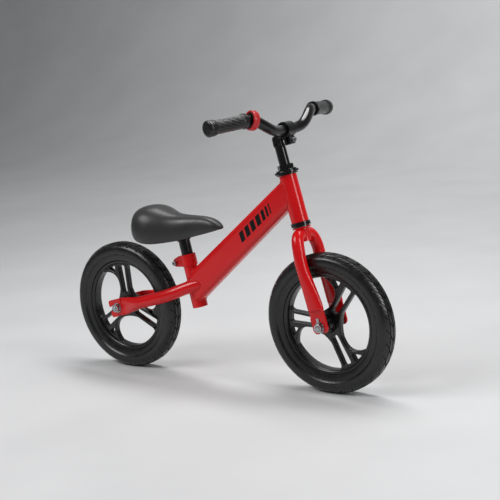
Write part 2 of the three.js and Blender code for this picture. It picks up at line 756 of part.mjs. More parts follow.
function saddleCover() {
  const rings = SADDLE_SECTIONS.map(saddleSection);
  const around = rings[0].length;
  const positions = rings.flatMap((ring, i) => ring.flatMap(([y, z]) => [SADDLE_SECTIONS[i][0], y, z]));
  const triangles = [];
  for (let i = 0; i + 1 < rings.length; i += 1) {
    for (let j = 0; j < around; j += 1) {
      const a = i * around + j;
      const b = i * around + ((j + 1) % around);
      triangles.push(a, b, a + around, b, b + around, a + around);
    }
  }
  const capOf = (ring) => {
    const corners = ring.map(([y, z]) => new THREE.Vector2(y, z));
    return THREE.ShapeUtils.triangulateShape(corners, []);
  };
  const last = (rings.length - 1) * around;
  for (const [a, b, c] of capOf(rings[0])) {
    triangles.push(a, b, c);
  }
  for (const [a, b, c] of capOf(rings.at(-1))) {
    triangles.push(last + a, last + c, last + b);
  }
  return outwardSolid(new Float32Array(positions), new Uint32Array(triangles));
}

// A level plate from the left half of its outline.
function planPlate(half, low, high) {
  const outline = [...half, ...half.map(([x, y]) => [x, -y]).reverse()];
  const plate = new THREE.ExtrudeGeometry(polygon(outline), { depth: high - low, bevelEnabled: false });
  return solid(plate.translate(0, 0, low));
}

function screwHole(x, radius) {
  const place = new THREE.Matrix4().makeTranslation(x, 0, 0);
  return cylinder(radius, -20, 40, 12, place);
}

// Hard shell set into the underside of the saddle.
function saddleBase() {
  const plate = planPlate([[-60, 26], [-21, 25], [-1, 18], [34, 14.5]], 13.7, 18.5);
  return plate.subtract(screwHole(-25, 2.8)).subtract(screwHole(25, 2.8));
}

// Steel plate with a socket that holds the top of the seat post.
function saddleBracket(post) {
  const plate = box(-33, 33, -14, 14, 10.6, 13.4);
  const socket = cylinder(15.6, 149.5 - SADDLE_HEIGHT, 14, 28, post);
  const top = box(-40, 40, -40, 40, 13.4, 60);
  const hole = cylinder(POST_RADIUS + GAP, -60, POST_TOP - SADDLE_HEIGHT + GAP, 24, post);
  const body = plate.add(socket).subtract(top).subtract(hole);
  return body.subtract(screwHole(-25, 2.8)).subtract(screwHole(25, 2.8));
}

function saddleScrew(x) {
  const place = new THREE.Matrix4().makeTranslation(x, 0, 0);
  return cylinder(2.5, 8, 18, 12, place).add(cylinder(4.5, 6.8, 10.3, 16, place));
}

// Assembly
function addFrame(root, steering, seat, stays) {
  addPiece(steering, 'head_tube', headTube(), RED);
  addPiece(root, 'main_tube', mainTube(root, steering, seat), RED);
  addPiece(seat, 'seat_tube', seatTube(), RED);
  addPiece(stays, 'chainstay_right', chainstay(-1, seat, stays), RED);
  addPiece(stays, 'chainstay_left', chainstay(1, seat, stays), RED);
  addPiece(seat, 'seat_clamp', seatClamp(), RED);
  addPiece(seat, 'seat_clamp_bolt', seatClampBolt(), ZINC);
  addPiece(seat, 'seat_clamp_nut', seatClampNut(), ZINC);
  addAxleSet(stays, 'rear', 0, 0, STAY_SPREAD, plainWasher);
}

function addHeadset(steering) {
  addPiece(steering, 'headset_lower_cup', lowerCup(), BLACK_STEEL);
  addPiece(steering, 'headset_upper_cup', upperCup(), BLACK_STEEL);
  addPiece(steering, 'lower_bearing', ballRing(-7.6, 15.2), ZINC);
  addPiece(steering, 'upper_bearing', ballRing(HEAD_LENGTH + 3.2, 16), ZINC);
}

function addFork(steering) {
  addPiece(steering, 'fork_steerer', steerer(), RED);
  addPiece(steering, 'fork_blade_right', forkBlade(-1), RED);
  addPiece(steering, 'fork_blade_left', forkBlade(1), RED);
  addPiece(steering, 'crown_race', crownRace(), ZINC);
  addPiece(steering, 'headset_top_cap', topCap(), BLACK_STEEL);
  addPiece(steering, 'steerer_locknut', locknut(), BLACK_STEEL);
  addAxleSet(steering, 'front', FORK_OFFSET, -FORK_DROP, BLADE_SPREAD, tabWasher);
}

function addStem(steering) {
  addPiece(steering, 'stem', stem(), BLACK_STEEL);
  addPiece(steering, 'stem_wedge', stemWedge(), ZINC);
  addPiece(steering, 'stem_expander_bolt', expanderBolt(), ZINC);
  addPiece(steering, 'stem_clamp_bolt', pinchBolt(), ZINC);
  addPiece(steering, 'stem_clamp_nut', pinchNut(), ZINC);
}

function addHandlebar(root, steering) {
  const [x, z] = CLAMP_CENTRE;
  const group = new THREE.Group();
  group.position.copy(new THREE.Vector3(x, 0, z).applyMatrix4(steering.matrixWorld));
  root.add(group);
  addPiece(group, 'handlebar', handlebar(), BLACK_STEEL);
  addPiece(group, 'grip_right', grip(-1), RUBBER);
  addPiece(group, 'grip_left', grip(1), RUBBER);
  addPiece(group, 'bell_mount', bellMount(), BLACK_PLASTIC);
  addPiece(group, 'bell_ring', bellRing(), RED);
}

function addSaddle(root, seat) {
  const post = cylinder(POST_RADIUS, POST_BOTTOM, POST_TOP, 24);
  const bore = cylinder(POST_RADIUS - 2, POST_BOTTOM - 1, POST_TOP + 1, 24);
  addPiece(seat, 'seat_post', post.subtract(bore), BLACK_STEEL);
  const saddle = new THREE.Group();
  saddle.position.copy(new THREE.Vector3(0, 0, SADDLE_HEIGHT).applyMatrix4(seat.matrixWorld));
  root.add(saddle);
  const lean = new THREE.Matrix4().makeRotationY(-radians(SEAT_ANGLE));
  addPiece(saddle, 'saddle_bracket', saddleBracket(lean), BLACK_STEEL);
  addPiece(saddle, 'saddle_base', saddleBase(), BLACK_PLASTIC);
  addPiece(saddle, 'saddle_cover', saddleCover(), PADDING);
  addPiece(saddle, 'saddle_screw_rear', saddleScrew(-25), ZINC);
  addPiece(saddle, 'saddle_screw_front', saddleScrew(25), ZINC);
}

function balanceBike() {
  const root = new THREE.Group();
  const steering = leaningGroup(HEAD_BOTTOM, HEAD_ANGLE);
  const seat = leaningGroup(SEAT_BOTTOM, SEAT_ANGLE);
  const stays = leaningGroup([-WHEELBASE / 2, TYRE_RADIUS], STAY_SLOPE);
  root.add(steering, seat, stays);
  addFrame(root, steering, seat, stays);
  addHeadset(steering);
  addFork(steering);
  addStem(steering);
  addHandlebar(root, steering);
  addWheel(root, 'rear', -WHEELBASE / 2, REAR_SPOKE_ANGLE);
  const frontAxle = new THREE.Vector3(FORK_OFFSET, 0, -FORK_DROP).applyMatrix4(steering.matrixWorld);
  addWheel(root, 'front', frontAxle.x, FRONT_SPOKE_ANGLE);
  addSaddle(root, seat);
  return root;
}

export default balanceBike();
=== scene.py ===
import math
import bmesh
import bpy
from mathutils import Matrix, Vector


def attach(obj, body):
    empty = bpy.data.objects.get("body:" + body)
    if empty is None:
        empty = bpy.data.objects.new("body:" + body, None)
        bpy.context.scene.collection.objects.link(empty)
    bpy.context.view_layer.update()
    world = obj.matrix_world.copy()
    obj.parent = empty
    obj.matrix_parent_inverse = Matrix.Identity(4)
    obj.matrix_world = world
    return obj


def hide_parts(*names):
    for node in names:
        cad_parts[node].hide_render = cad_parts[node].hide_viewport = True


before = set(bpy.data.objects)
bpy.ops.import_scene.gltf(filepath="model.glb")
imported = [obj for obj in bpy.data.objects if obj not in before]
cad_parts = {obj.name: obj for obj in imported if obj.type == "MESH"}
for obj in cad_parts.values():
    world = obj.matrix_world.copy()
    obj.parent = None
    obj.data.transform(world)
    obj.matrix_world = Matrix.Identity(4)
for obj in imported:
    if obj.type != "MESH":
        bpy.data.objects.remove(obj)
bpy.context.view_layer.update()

MM = 0.001
WHEEL_X = {"rear": -272.0, "front": 271.79}
AXLE_Z = 145.0
SPOKE_ANGLE = {"rear": 95.0, "front": 56.0}
SIDES = {"right": -1, "left": 1}
HEAD_LENGTH = 98.5
CLAMP_CENTRE = (26.0, 186.0)
GRIP_START = (-12.9, 118.8, 29.7)
GRIP_END = (-35.5, 209.4, 24.6)
BELL_AT = (-8.0, 103.0, 28.85)
BELL_TOWARDS = (-11.8, 113.1, 31.5)
GRIP_LENGTH = 94.0


def leaning(x, z, degrees):
    """Frame at (x, 0, z) in mm whose Z axis leans back by that angle."""
    c = math.cos(math.radians(degrees))
    s = math.sin(math.radians(degrees))
    return Matrix(((c, 0, -s, x), (0, 1, 0, 0), (s, 0, c, z), (0, 0, 0, 1)))


ROW = Matrix.Identity(4)
STEER = leaning(217.3, 350.5, 13.1)
SEAT = leaning(-61.7, 154.0, 11.3)
STAYS = leaning(-272.0, AXLE_Z, 14.4)
BAR = Matrix.Translation(STEER @ Vector((CLAMP_CENTRE[0], 0, CLAMP_CENTRE[1])))
SADDLE = Matrix.Translation(SEAT @ Vector((0, 0, 152.0)))
WHEEL = {end: Matrix.Translation((x, 0, AXLE_Z)) for end, x in WHEEL_X.items()}
# Turns a shape made about Z so that it lies about Y.
ABOUT_Y = Matrix.Rotation(math.radians(-90), 4, "X")


# Materials
class Shader:
    """One material's nodes, with short calls for the ones used here."""

    def __init__(self, name, color, roughness, metallic=0.0):
        self.material = bpy.data.materials.new(name)
        self.material.use_nodes = True
        self.tree = self.material.node_tree
        self.surface = self.tree.nodes["Principled BSDF"]
        self.surface.inputs["Base Color"].default_value = (*color, 1)
        self.surface.inputs["Roughness"].default_value = roughness
        self.surface.inputs["Metallic"].default_value = metallic
        self.place = self.tree.nodes.new("ShaderNodeTexCoord").outputs["Object"]
        self.height = None

    def set(self, **values):
        for name, value in values.items():
            self.surface.inputs[name.replace("_", " ")].default_value = value
        return self

    def link(self, source, target):
        self.tree.links.new(source, target)

    def noise(self, scale, detail=3.0, stretch=None):
        node = self.tree.nodes.new("ShaderNodeTexNoise")
        node.inputs["Scale"].default_value = scale
        node.inputs["Detail"].default_value = detail
        self.link(self.stretched(stretch), node.inputs["Vector"])
        return node.outputs["Fac"]

    def stretched(self, stretch):
        if stretch is None:
            return self.place
        node = self.tree.nodes.new("ShaderNodeMapping")
        node.inputs["Scale"].default_value = stretch
        self.link(self.place, node.inputs["Vector"])
        return node.outputs["Vector"]

    def cells(self, scale, feature="F1"):
        node = self.tree.nodes.new("ShaderNodeTexVoronoi")
        node.feature = feature
        node.inputs["Scale"].default_value = scale
        self.link(self.place, node.inputs["Vector"])
        return node.outputs["Distance"]

    def ranged(self, value, low, high, from_low=0.3, from_high=0.7):
        node = self.tree.nodes.new("ShaderNodeMapRange")
        node.inputs["From Min"].default_value = from_low
        node.inputs["From Max"].default_value = from_high
        node.inputs["To Min"].default_value = low
        node.inputs["To Max"].default_value = high
        self.link(value, node.inputs["Value"])
        return node.outputs["Result"]

    def colors(self, value, dark, light, low=0.3, high=0.7):
        node = self.tree.nodes.new("ShaderNodeValToRGB")
        node.color_ramp.elements[0].position = low
        node.color_ramp.elements[0].color = (*dark, 1)
        node.color_ramp.elements[1].position = high
        node.color_ramp.elements[1].color = (*light, 1)
        self.link(value, node.inputs["Fac"])
        self.link(node.outputs["Color"], self.surface.inputs["Base Color"])
        return self

    def rough(self, value, low, high, from_low=0.3, from_high=0.7):
        self.link(self.ranged(value, low, high, from_low, from_high), self.surface.inputs["Roughness"])
        return self

    def bump(self, value, depth, strength=1.0):
        node = self.tree.nodes.new("ShaderNodeBump")
        node.inputs["Distance"].default_value = depth
        node.inputs["Strength"].default_value = strength
        self.link(value, node.inputs["Height"])
        if self.height is not None:
            self.link(self.height, node.inputs["Normal"])
        self.height = node.outputs["Normal"]
        self.link(self.height, self.surface.inputs["Normal"])
        return self


def enamel(name, dark, light, roughness):
    """Glossy stoved paint: slight orange peel, a little mottling, faint wiping marks."""
    m = Shader(name, light, roughness)
    m.set(Specular_IOR_Level=0.3, Coat_Weight=0.2, Coat_Roughness=0.04)
    m.colors(m.noise(9, 3), dark, light)
    m.rough(m.noise(38, 4), roughness * 0.85, roughness * 1.25)
    return m.bump(m.noise(230, 1.5), 0.00004, 0.25).material


def sticker(name):
    """Thin printed film: satin black with a faint weave of laminate ripple and rubbed edges."""
    m = Shader(name, (0.004, 0.004, 0.004), 0.34)
    m.set(Specular_IOR_Level=0.2)
    m.colors(m.noise(70, 5), (0.003, 0.003, 0.003), (0.006, 0.006, 0.006))
    m.rough(m.noise(120, 4), 0.3, 0.42)
    return m.bump(m.noise(500, 2), 0.00003, 0.25).material


def moulded(name, dark, light, roughness, grain=1500):
    """Injection moulded plastic with a fine spark grain and a few scuffs."""
    m = Shader(name, light, roughness)
    m.colors(m.noise(25, 5), dark, light)
    m.rough(m.noise(90, 5), roughness * 0.85, roughness * 1.25)
    return m.bump(m.noise(grain, 2), 0.00003, 0.35).material


def foam(name):
    """Closed-cell foam with fine pores and a rubbed, slightly dusty surface."""
    m = Shader(name, (0.006, 0.006, 0.0062), 0.3)
    m.colors(m.noise(40, 6), (0.0035, 0.0035, 0.0037), (0.009, 0.009, 0.0094))
    m.rough(m.noise(80, 5), 0.22, 0.36)
    m.bump(m.cells(1400), 0.00005, 0.3)
    return m.bump(m.noise(240, 3), 0.00006, 0.2).material


def rubber(name):
    m = Shader(name, (0.007, 0.007, 0.0072), 0.3)
    m.colors(m.noise(60, 5), (0.0045, 0.0045, 0.0047), (0.010, 0.010, 0.0104))
    m.rough(m.noise(150, 5), 0.22, 0.36)
    return m.bump(m.noise(1300, 2), 0.00004, 0.35).material


def skin(name):
    """Soft moulded seat skin with a fine pebble grain."""
    m = Shader(name, (0.022, 0.022, 0.0228), 0.38)
    m.set(Sheen_Weight=0.08, Sheen_Roughness=0.4)
    m.colors(m.noise(16, 5), (0.018, 0.018, 0.0187), (0.028, 0.028, 0.029))
    m.rough(m.noise(60, 5), 0.33, 0.45)
    m.bump(m.cells(520, "SMOOTH_F1"), 0.0002, 0.5)
    return m.bump(m.noise(1500, 2), 0.00004, 0.3).material


def plated(name, dark, light, roughness):
    """Zinc plated steel with fine turning marks and a dull, uneven passivation."""
    m = Shader(name, light, roughness, 1.0)
    m.colors(m.noise(160, 5), dark, light)
    m.rough(m.noise(320, 4), roughness * 0.7, roughness * 1.5)
    return m.bump(m.noise(900, 2, (1, 6, 1)), 0.00005, 0.5).material


RED = enamel("red_enamel", (0.60, 0.003, 0.005), (0.69, 0.005, 0.008), 0.22)
WELD = enamel("red_enamel_on_weld", (0.52, 0.003, 0.005), (0.66, 0.005, 0.008), 0.26)
BLACK = enamel("black_enamel", (0.004, 0.004, 0.0042), (0.008, 0.008, 0.0084), 0.18)
INK = sticker("black_sticker")
PLASTIC = moulded("black_plastic", (0.004, 0.004, 0.0043), (0.009, 0.009, 0.0094), 0.24)
RED_PLASTIC = moulded("red_plastic", (0.46, 0.008, 0.012), (0.6, 0.014, 0.018), 0.3)
FOAM = foam("tyre_foam")
RUBBER = rubber("grip_rubber")
SKIN = skin("seat_skin")
ZINC = plated("zinc_plate", (0.27, 0.275, 0.29), (0.5, 0.505, 0.52), 0.2)
DARK_ZINC = plated("dark_zinc", (0.10, 0.10, 0.105), (0.2, 0.2, 0.21), 0.32)


# Mesh helpers
def finished(name, mesh, material, body, nodes, sharp=38):
    """Shades, paints, names and registers one piece."""
    mesh.set_sharp_from_angle(angle=math.radians(sharp))
    piece = bpy.data.objects.new(name, mesh)
    bpy.context.scene.collection.objects.link(piece)
    piece.data.materials.clear()
    piece.data.materials.append(material)
    even = piece.modifiers.new("even_shading", "WEIGHTED_NORMAL")
    even.keep_sharp = True
    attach(piece, body)
    if nodes:
        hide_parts(*nodes)
    return piece


def mesh_of(name, points, faces, matrix=ROW):
    """A mesh from points in mm in a local frame, with its faces turned outwards."""
    mesh = bpy.data.meshes.new(name)
    mesh.from_pydata([(matrix @ Vector(p)) * MM for p in points], [], faces)
    tidy = bmesh.new()
    tidy.from_mesh(mesh)
    bmesh.ops.remove_doubles(tidy, verts=tidy.verts, dist=1e-7)
    bmesh.ops.recalc_face_normals(tidy, faces=tidy.faces)
    if tidy.calc_volume(signed=True) < 0:
        bmesh.ops.reverse_faces(tidy, faces=tidy.faces)
    for face in tidy.faces:
        face.smooth = True
    tidy.to_mesh(mesh)
    tidy.free()
    return mesh


def skinned(rows, around=True, ends=True, loop=False):
    """Points and faces of a sheet through rows of equal length; ends closes the first and last row."""
    width = len(rows[0])
    points = [p for row in rows for p in row]
    faces = []
    count = len(rows) if loop else len(rows) - 1
    for i in range(count):
        here = i * width
        there = ((i + 1) % len(rows)) * width
        for j in range(width if around else width - 1):
            k = (j + 1) % width
            faces.append((here + j, here + k, there + k, there + j))
    if ends and not loop:
        faces.append(tuple(range(width))[::-1])
        faces.append(tuple(range((len(rows) - 1) * width, len(rows) * width)))
    return points, faces


def ring(radius, height, steps, turn=0.0):
    step = 2 * math.pi / steps
    return [(radius * math.cos(turn + i * step), radius * math.sin(turn + i * step), height) for i in range(steps)]


def turned(name, profile, matrix, steps=64, loop=False):
    """A turned mesh about Z from (radius, height) pairs; loop joins the last pair to the first."""
    rows = [ring(max(r, 0.01), z, steps) for r, z in profile]
    return mesh_of(name, *skinned(rows, ends=not loop, loop=loop), matrix)


def curve_through(points, steps):
    """Evenly spread points on a smooth curve through the given ones, with the way it runs at each."""
    given = [Vector(p) for p in points]
    first = given[0] * 2 - given[1]
    last = given[-1] * 2 - given[-2]
    chain = [first, *given, last]
    fine = []
    for i in range(len(given) - 1):
        a, b, c, d = chain[i:i + 4]
        for k in range(24):
            t = k / 24
            fine.append(0.5 * (2 * b + (c - a) * t + (2 * a - 5 * b + 4 * c - d) * t ** 2
                               + (3 * b - a - 3 * c + d) * t ** 3))
    fine.append(given[-1])
    lengths = [0.0]
    for a, b in zip(fine, fine[1:]):
        lengths.append(lengths[-1] + (b - a).length)
    out = []
    at = 0
    for i in range(steps + 1):
        want = lengths[-1] * i / steps
        while at < len(lengths) - 2 and lengths[at + 1] < want:
            at += 1
        share = (want - lengths[at]) / (lengths[at + 1] - lengths[at])
        out.append(fine[at].lerp(fine[at + 1], share))
    return out


def swept_rows(points, radius, steps=60, sides=32, press=None):
    """Rings of a tube along a curve. radius is a number or a function of the share run; press moves a point."""
    path = curve_through(points, steps)
    rows = []
    side = None
    for i, centre in enumerate(path):
        before = path[max(i - 1, 0)]
        after = path[min(i + 1, len(path) - 1)]
        way = (after - before).normalized()
        if side is None:
            side = way.orthogonal().normalized()
        side = (side - way * side.dot(way)).normalized()
        up = way.cross(side)
        r = radius(i / steps) if callable(radius) else radius
        row = []
        for k in range(sides):
            angle = 2 * math.pi * k / sides
            point = centre + side * (r * math.cos(angle)) + up * (r * math.sin(angle))
            row.append(press(point, centre) if press else point)
        rows.append(row)
    return rows


def swept(name, points, radius, matrix, steps=60, sides=32, press=None, ends=True):
    return mesh_of(name, *skinned(swept_rows(points, radius, steps, sides, press), ends=ends), matrix)


def meeting_line(rows, own, other, radius, ahead=None):
    """Where each rail through the rows enters a round tube of that radius about the other frame's Z.

    With ahead given, everything within that half width in front of the tube's axis counts as inside too.
    """
    across = other.inverted() @ own

    def outside(point):
        p = across @ Vector(point)
        distance = math.hypot(p.x, p.y) - radius
        if ahead is not None and p.x > 0:
            distance = min(distance, abs(p.y) - ahead)
        return distance

    line = []
    for rail in zip(*rows):
        if outside(rail[0]) > 0:
            rail = rail[::-1]
        for a, b in zip(rail, rail[1:]):
            before, after = outside(a), outside(b)
            if before <= 0 < after:
                line.append(own @ Vector(a).lerp(Vector(b), before / (before - after)))
                break
    return line


def stopped_in_wall(rows, own, other, way, radius):
    """Rows whose first row closes inside a tube's wall: nothing is nearer than radius to the other Z axis.

    way is the direction in which the rows run into that tube, and points too far in go back along it.
    """
    across = other.inverted() @ own
    run = across.to_3x3() @ way
    centre = sum((Vector(p) for p in rows[0]), Vector()) / len(rows[0])
    caps = [[centre.lerp(Vector(p), share) for p in rows[0]] for share in (0.04, 0.28, 0.52, 0.76)]
    kept = []
    for row in caps + rows:
        points = []
        for point in row:
            near = across @ Vector(point)
            inside = near.x * near.x + near.y * near.y - radius * radius
            if inside < 0:
                along = near.x * run.x + near.y * run.y
                level = run.x * run.x + run.y * run.y
                back = (along + math.sqrt(along * along - level * inside)) / level
                point = Vector(point) - way * back
            points.append(tuple(point))
        kept.append(points)
    return kept


def ring_bead(name, line, size=1.7):
    """A closed weld bead with overlapping ripples, lying along a closed line in the row frame."""
    count = len(line)
    total = sum((line[i] - line[i - 1]).length for i in range(count))
    ripples = max(8, round(total / 3.2))
    steps = ripples * 5
    dense = curve_through([*line, line[0]], steps)[:-1]
    rows = []
    for i, centre in enumerate(dense):
        way = (dense[(i + 1) % steps] - dense[i - 1]).normalized()
        side = way.cross(Vector((0.3, 0.1, 1))).normalized()
        up = way.cross(side)
        r = size * (0.82 + 0.2 * abs(math.sin(math.pi * i / 5)))
        rows.append([centre + side * (r * math.cos(a)) + up * (r * math.sin(a))
                     for a in (2 * math.pi * k / 10 for k in range(10))])
    return mesh_of(name, *skinned(rows, loop=True))


def rounded(corners, radius, steps=5):
    """A closed outline with its corners rounded off."""
    out = []
    count = len(corners)
    for i, corner in enumerate(corners):
        here = Vector(corner)
        before = Vector(corners[i - 1]) - here
        after = Vector(corners[(i + 1) % count]) - here
        reach = radius[i] if isinstance(radius, (list, tuple)) else radius
        reach = min(reach, before.length * 0.45, after.length * 0.45)
        a = here + before.normalized() * reach
        b = here + after.normalized() * reach
        for k in range(steps + 1):
            t = k / steps
            out.append(a.lerp(here, t).lerp(here.lerp(b, t), t))
    return out


def clockwise(outline):
    area = sum(a[0] * b[1] - b[0] * a[1] for a, b in zip(outline, [*outline[1:], outline[0]]))
    return outline if area < 0 else outline[::-1]


def plate(name, outline, holes, half, bevel, matrix, rounding=4):
    """A plate in the XZ plane, half thick each way along Y, with rounded edges."""
    curve = bpy.data.curves.new(name, "CURVE")
    curve.dimensions = "2D"
    curve.fill_mode = "BOTH"
    curve.extrude = (half - bevel) * MM
    curve.bevel_depth = bevel * MM
    curve.bevel_resolution = rounding
    curve.offset = -bevel * MM
    loops = [clockwise(outline)] + [clockwise(hole)[::-1] for hole in holes]
    for points in loops:
        spline = curve.splines.new("POLY")
        spline.points.add(len(points) - 1)
        for target, (x, z) in zip(spline.points, points):
            target.co = (x * MM, z * MM, 0, 1)
        spline.use_cyclic_u = True
    carrier = bpy.data.objects.new(name, curve)
    mesh = bpy.data.meshes.new_from_object(carrier)
    bpy.data.objects.remove(carrier)
    bpy.data.curves.remove(curve)
    place = matrix.copy()
    place.translation = matrix.translation * MM
    upright = Matrix.Rotation(math.radians(90), 4, "X")
    mesh.transform(place @ upright)
    tidy = bmesh.new()
    tidy.from_mesh(mesh)
    bmesh.ops.remove_doubles(tidy, verts=tidy.verts, dist=2e-6)
    bmesh.ops.recalc_face_normals(tidy, faces=tidy.faces)
    for face in tidy.faces:
        face.smooth = True
    tidy.to_mesh(mesh)
    tidy.free()
    return mesh


def joined(name, *meshes):
    """One mesh from several."""
    whole = bmesh.new()
    for mesh in meshes:
        whole.from_mesh(mesh)
    out = bpy.data.meshes.new(name)
    whole.to_mesh(out)
    whole.free()
    return out


def hex_nut(name, across, low, high, bore, matrix, point=0.0):
    """A six-sided nut about Z with its corners chamfered at both ends. across is corner to corner."""
    steps = 72
    corner = across / 2
    flat = corner * math.cos(math.pi / 6)
    shoulder = flat * 1.01
    slope = math.tan(math.radians(30))

    def reach(i):
        angle = (2 * math.pi * i / steps + point) % (math.pi / 3) - math.pi / 6
        return flat / math.cos(angle)

    def row(radius, height):
        out = []
        for i in range(steps):
            angle = 2 * math.pi * i / steps
            out.append((radius(i) * math.cos(angle), radius(i) * math.sin(angle), height(i)))
        return out

    drop = lambda i: max(0.0, reach(i) - shoulder) * slope
    rows = [
        row(lambda i: bore, lambda i: low + 0.4),
        row(lambda i: bore + 0.5, lambda i: low),
        row(lambda i: min(reach(i), shoulder), lambda i: low),
        row(reach, lambda i: low + drop(i)),
        row(reach, lambda i: high - drop(i)),
        row(lambda i: min(reach(i), shoulder), lambda i: high),
        row(lambda i: bore + 0.5, lambda i: high),
        row(lambda i: bore, lambda i: high - 0.4),
    ]
    return mesh_of(name, *skinned(rows, loop=True), matrix)


def threaded(name, radius, low, high, matrix, pitch=1.0):
    """A screwed rod end about Z: rings of thread and a chamfered tip."""
    profile = [(0, low), (radius - 0.9, low), (radius - 0.1, low + 0.8)]
    count = max(1, int((high - low - 2) / pitch))
    for i in range(count):
        z = low + 1 + i * pitch
        profile += [(radius, z), (radius - 0.55, z + pitch * 0.5)]
    profile += [(radius - 0.1, high - 0.8), (radius - 0.9, high), (0, high)]
    return turned(name, profile, matrix, 32)


# Wheels
def crown_radius(y):
    return 145.0 - 7.0 * (max(0.0, abs(y) - 6.0) / 13.0) ** 1.9


def tread_rows():
    """The crossing grooves along one pitch of tread: (share of the pitch, depth of cut 0 to 1)."""
    return [
        (0.0, 0.0), (0.03, 1.0), (0.15, 1.0), (0.18, 0.0),
        (0.38, 0.0), (0.395, 0.5), (0.43, 0.5), (0.445, 0.0),
        (0.68, 0.0), (0.695, 0.5), (0.73, 0.5), (0.745, 0.0),
    ]


def make_tyre(end):
    pitches = 32
    step = 2 * math.pi / pitches
    # Stations from the middle of the tread outwards: y, depth of the groove round the tyre there.
    stations = [(0.0, 1.5), (1.0, 1.5), (1.4, 0.0), (8.0, 0.0), (8.4, 1.8), (9.9, 1.8), (10.3, 0.0),
                (13.5, 0.0), (16.8, 0.0), (18.0, 0.5)]
    side = [(19.6, 137.0), (21.1, 134.4), (21.9, 130.5), (21.9, 126.5), (21.5, 121.8), (21.0, 120.6),
            (20.2, 119.6), (18.2, 117.6), (17.4, 116.9), (17.0, 115.0), (16.3, 110.2), (15.2, 106.8),
            (14.3, 104.9), (13.0, 104.35)]
    half = []
    for y, cut in stations:
        row = []
        for i in range(pitches):
            for share, depth in tread_rows():
                slant = 0.9 * min(abs(y), 17.0) / 17.0
                angle = step * (i + share + slant)
                sipe = depth == 0.5 and not (2.5 < abs(y) < 7.9 or 11.0 < abs(y) < 16.0)
                across = 0.0 if sipe else 2.1 * depth
                if abs(y) > 17.5:
                    across = min(across, 1.0)
                radius = crown_radius(y) - max(cut, across)
                row.append((radius * math.cos(angle), y, radius * math.sin(angle)))
        half.append(row)
    for y, radius in side:
        row = []
        for i in range(pitches):
            for share, _ in tread_rows():
                angle = step * (i + share + 0.9)
                row.append((radius * math.cos(angle), y, radius * math.sin(angle)))
        half.append(row)
    other = [[(x, -y, z) for x, y, z in row] for row in half[1:]]
    rows = half[::-1] + other
    mesh = mesh_of(f"{end}_tyre_tread", *skinned(rows, loop=True), WHEEL[end])
    return finished(f"{end}_tyre_tread", mesh, FOAM, f"{end}_wheel_assembly", [f"{end}_tyre"], 30)


def turned_point(x, y, degrees):
    a = math.radians(degrees)
    return (x * math.cos(a) - y * math.sin(a), x * math.sin(a) + y * math.cos(a))


def bezier(a, b, c, d, steps):
    out = []
    for k in range(steps):
        t = k / steps
        s = 1 - t
        out.append(tuple(s ** 3 * a[i] + 3 * s * s * t * b[i] + 3 * s * t * t * c[i] + t ** 3 * d[i] for i in (0, 1)))
    return out


def window_outline(angle):
    """The large opening between one spoke with its curved arm and the next spoke."""
    after = angle + 120
    start = turned_point(38, 14.5, angle)
    arm = turned_point(50, 15, angle)
    points = bezier(start, turned_point(42, 14.6, angle), turned_point(46, 14.8, angle), arm, 3)
    landing = turned_point(96, 0, angle + 38)
    points += bezier(arm, turned_point(66, 16, angle), turned_point(80, 30, angle), landing, 14)
    points += [turned_point(96, 0, angle + 38 + 67 * k / 22) for k in range(23)]
    corner = turned_point(92, -16.5, after)
    edge = turned_point(82, -16, after)
    last = points[-1]
    points += bezier(last, tuple((last[i] + 2 * corner[i]) / 3 for i in (0, 1)),
                     tuple((edge[i] + 2 * corner[i]) / 3 for i in (0, 1)), edge, 8)[1:]
    low = turned_point(38, -14.5, after)
    hub = turned_point(24, 0, angle + 60)
    points.append(edge)
    points += bezier(low, tuple((low[i] + 2 * hub[i]) / 3 for i in (0, 1)),
                     tuple((start[i] + 2 * hub[i]) / 3 for i in (0, 1)), start, 12)
    return points


def make_wheel(end):
    holes = []
    for i in range(3):
        angle = SPOKE_ANGLE[end] + 120 * i
        slot = rounded([(27, -6.2), (90.5, -8.6), (90.5, 8.6), (27, 6.2)], 4.5, 6)
        corner = rounded([(74, 20.5), (91.5, 20.5), (85, 39)], 2.4, 4)
        holes.append([turned_point(x, y, angle) for x, y in slot])
        holes.append([turned_point(x, y, angle) for x, y in corner])
        holes.append(window_outline(angle))
    holes.append([turned_point(7.8, 0, 360 * k / 64) for k in range(64)])
    outer = [turned_point(100.5, 0, 360 * k / 120) for k in range(120)]
    web = plate(f"{end}_web", outer, holes, 7, 2.6, WHEEL[end], 4)
    lip = [(96.1, -7.0), (96.4, -10.0), (97.6, -12.0), (99.3, -13.3), (101.2, -13.95), (102.8, -13.95),
           (103.7, -13.4), (104.0, -12.2)]
    profile = lip + [(r, -y) for r, y in lip[::-1]]
    rim = turned(f"{end}_rim", profile, WHEEL[end] @ ABOUT_Y, 144, loop=True)
    hub = [(7.8, -19), (13.3, -19), (13.3, -26.2), (13.9, -27), (16.0, -27), (17, -26), (17, -13), (19.5, -6.5)]
    hub = turned(f"{end}_hub", hub + [(r, -y) for r, y in hub[::-1]], WHEEL[end] @ ABOUT_Y, 64, loop=True)
    mesh = joined(f"{end}_moulded_wheel", web, rim, hub)
    return finished(f"{end}_moulded_wheel", mesh, PLASTIC, f"{end}_wheel_assembly",
                    [f"{end}_wheel"])


def make_bearing(end, name, sign):
    profile = [(5.1, 20), (8, 20), (8, 20.4), (11.6, 20.4), (11.6, 20), (13, 20),
               (13, 26.7), (11.7, 27), (11.5, 26.4), (8.2, 26.4), (8, 27), (5.1, 27)]
    if sign < 0:
        profile = [(r, -y) for r, y in profile]
    mesh = turned(f"{end}_sealed_bearing_{name}", profile, WHEEL[end] @ ABOUT_Y, 48, loop=True)
    finished(mesh.name, mesh, ZINC, f"{end}_wheel_assembly", [f"{end}_hub_bearing_{name}"])


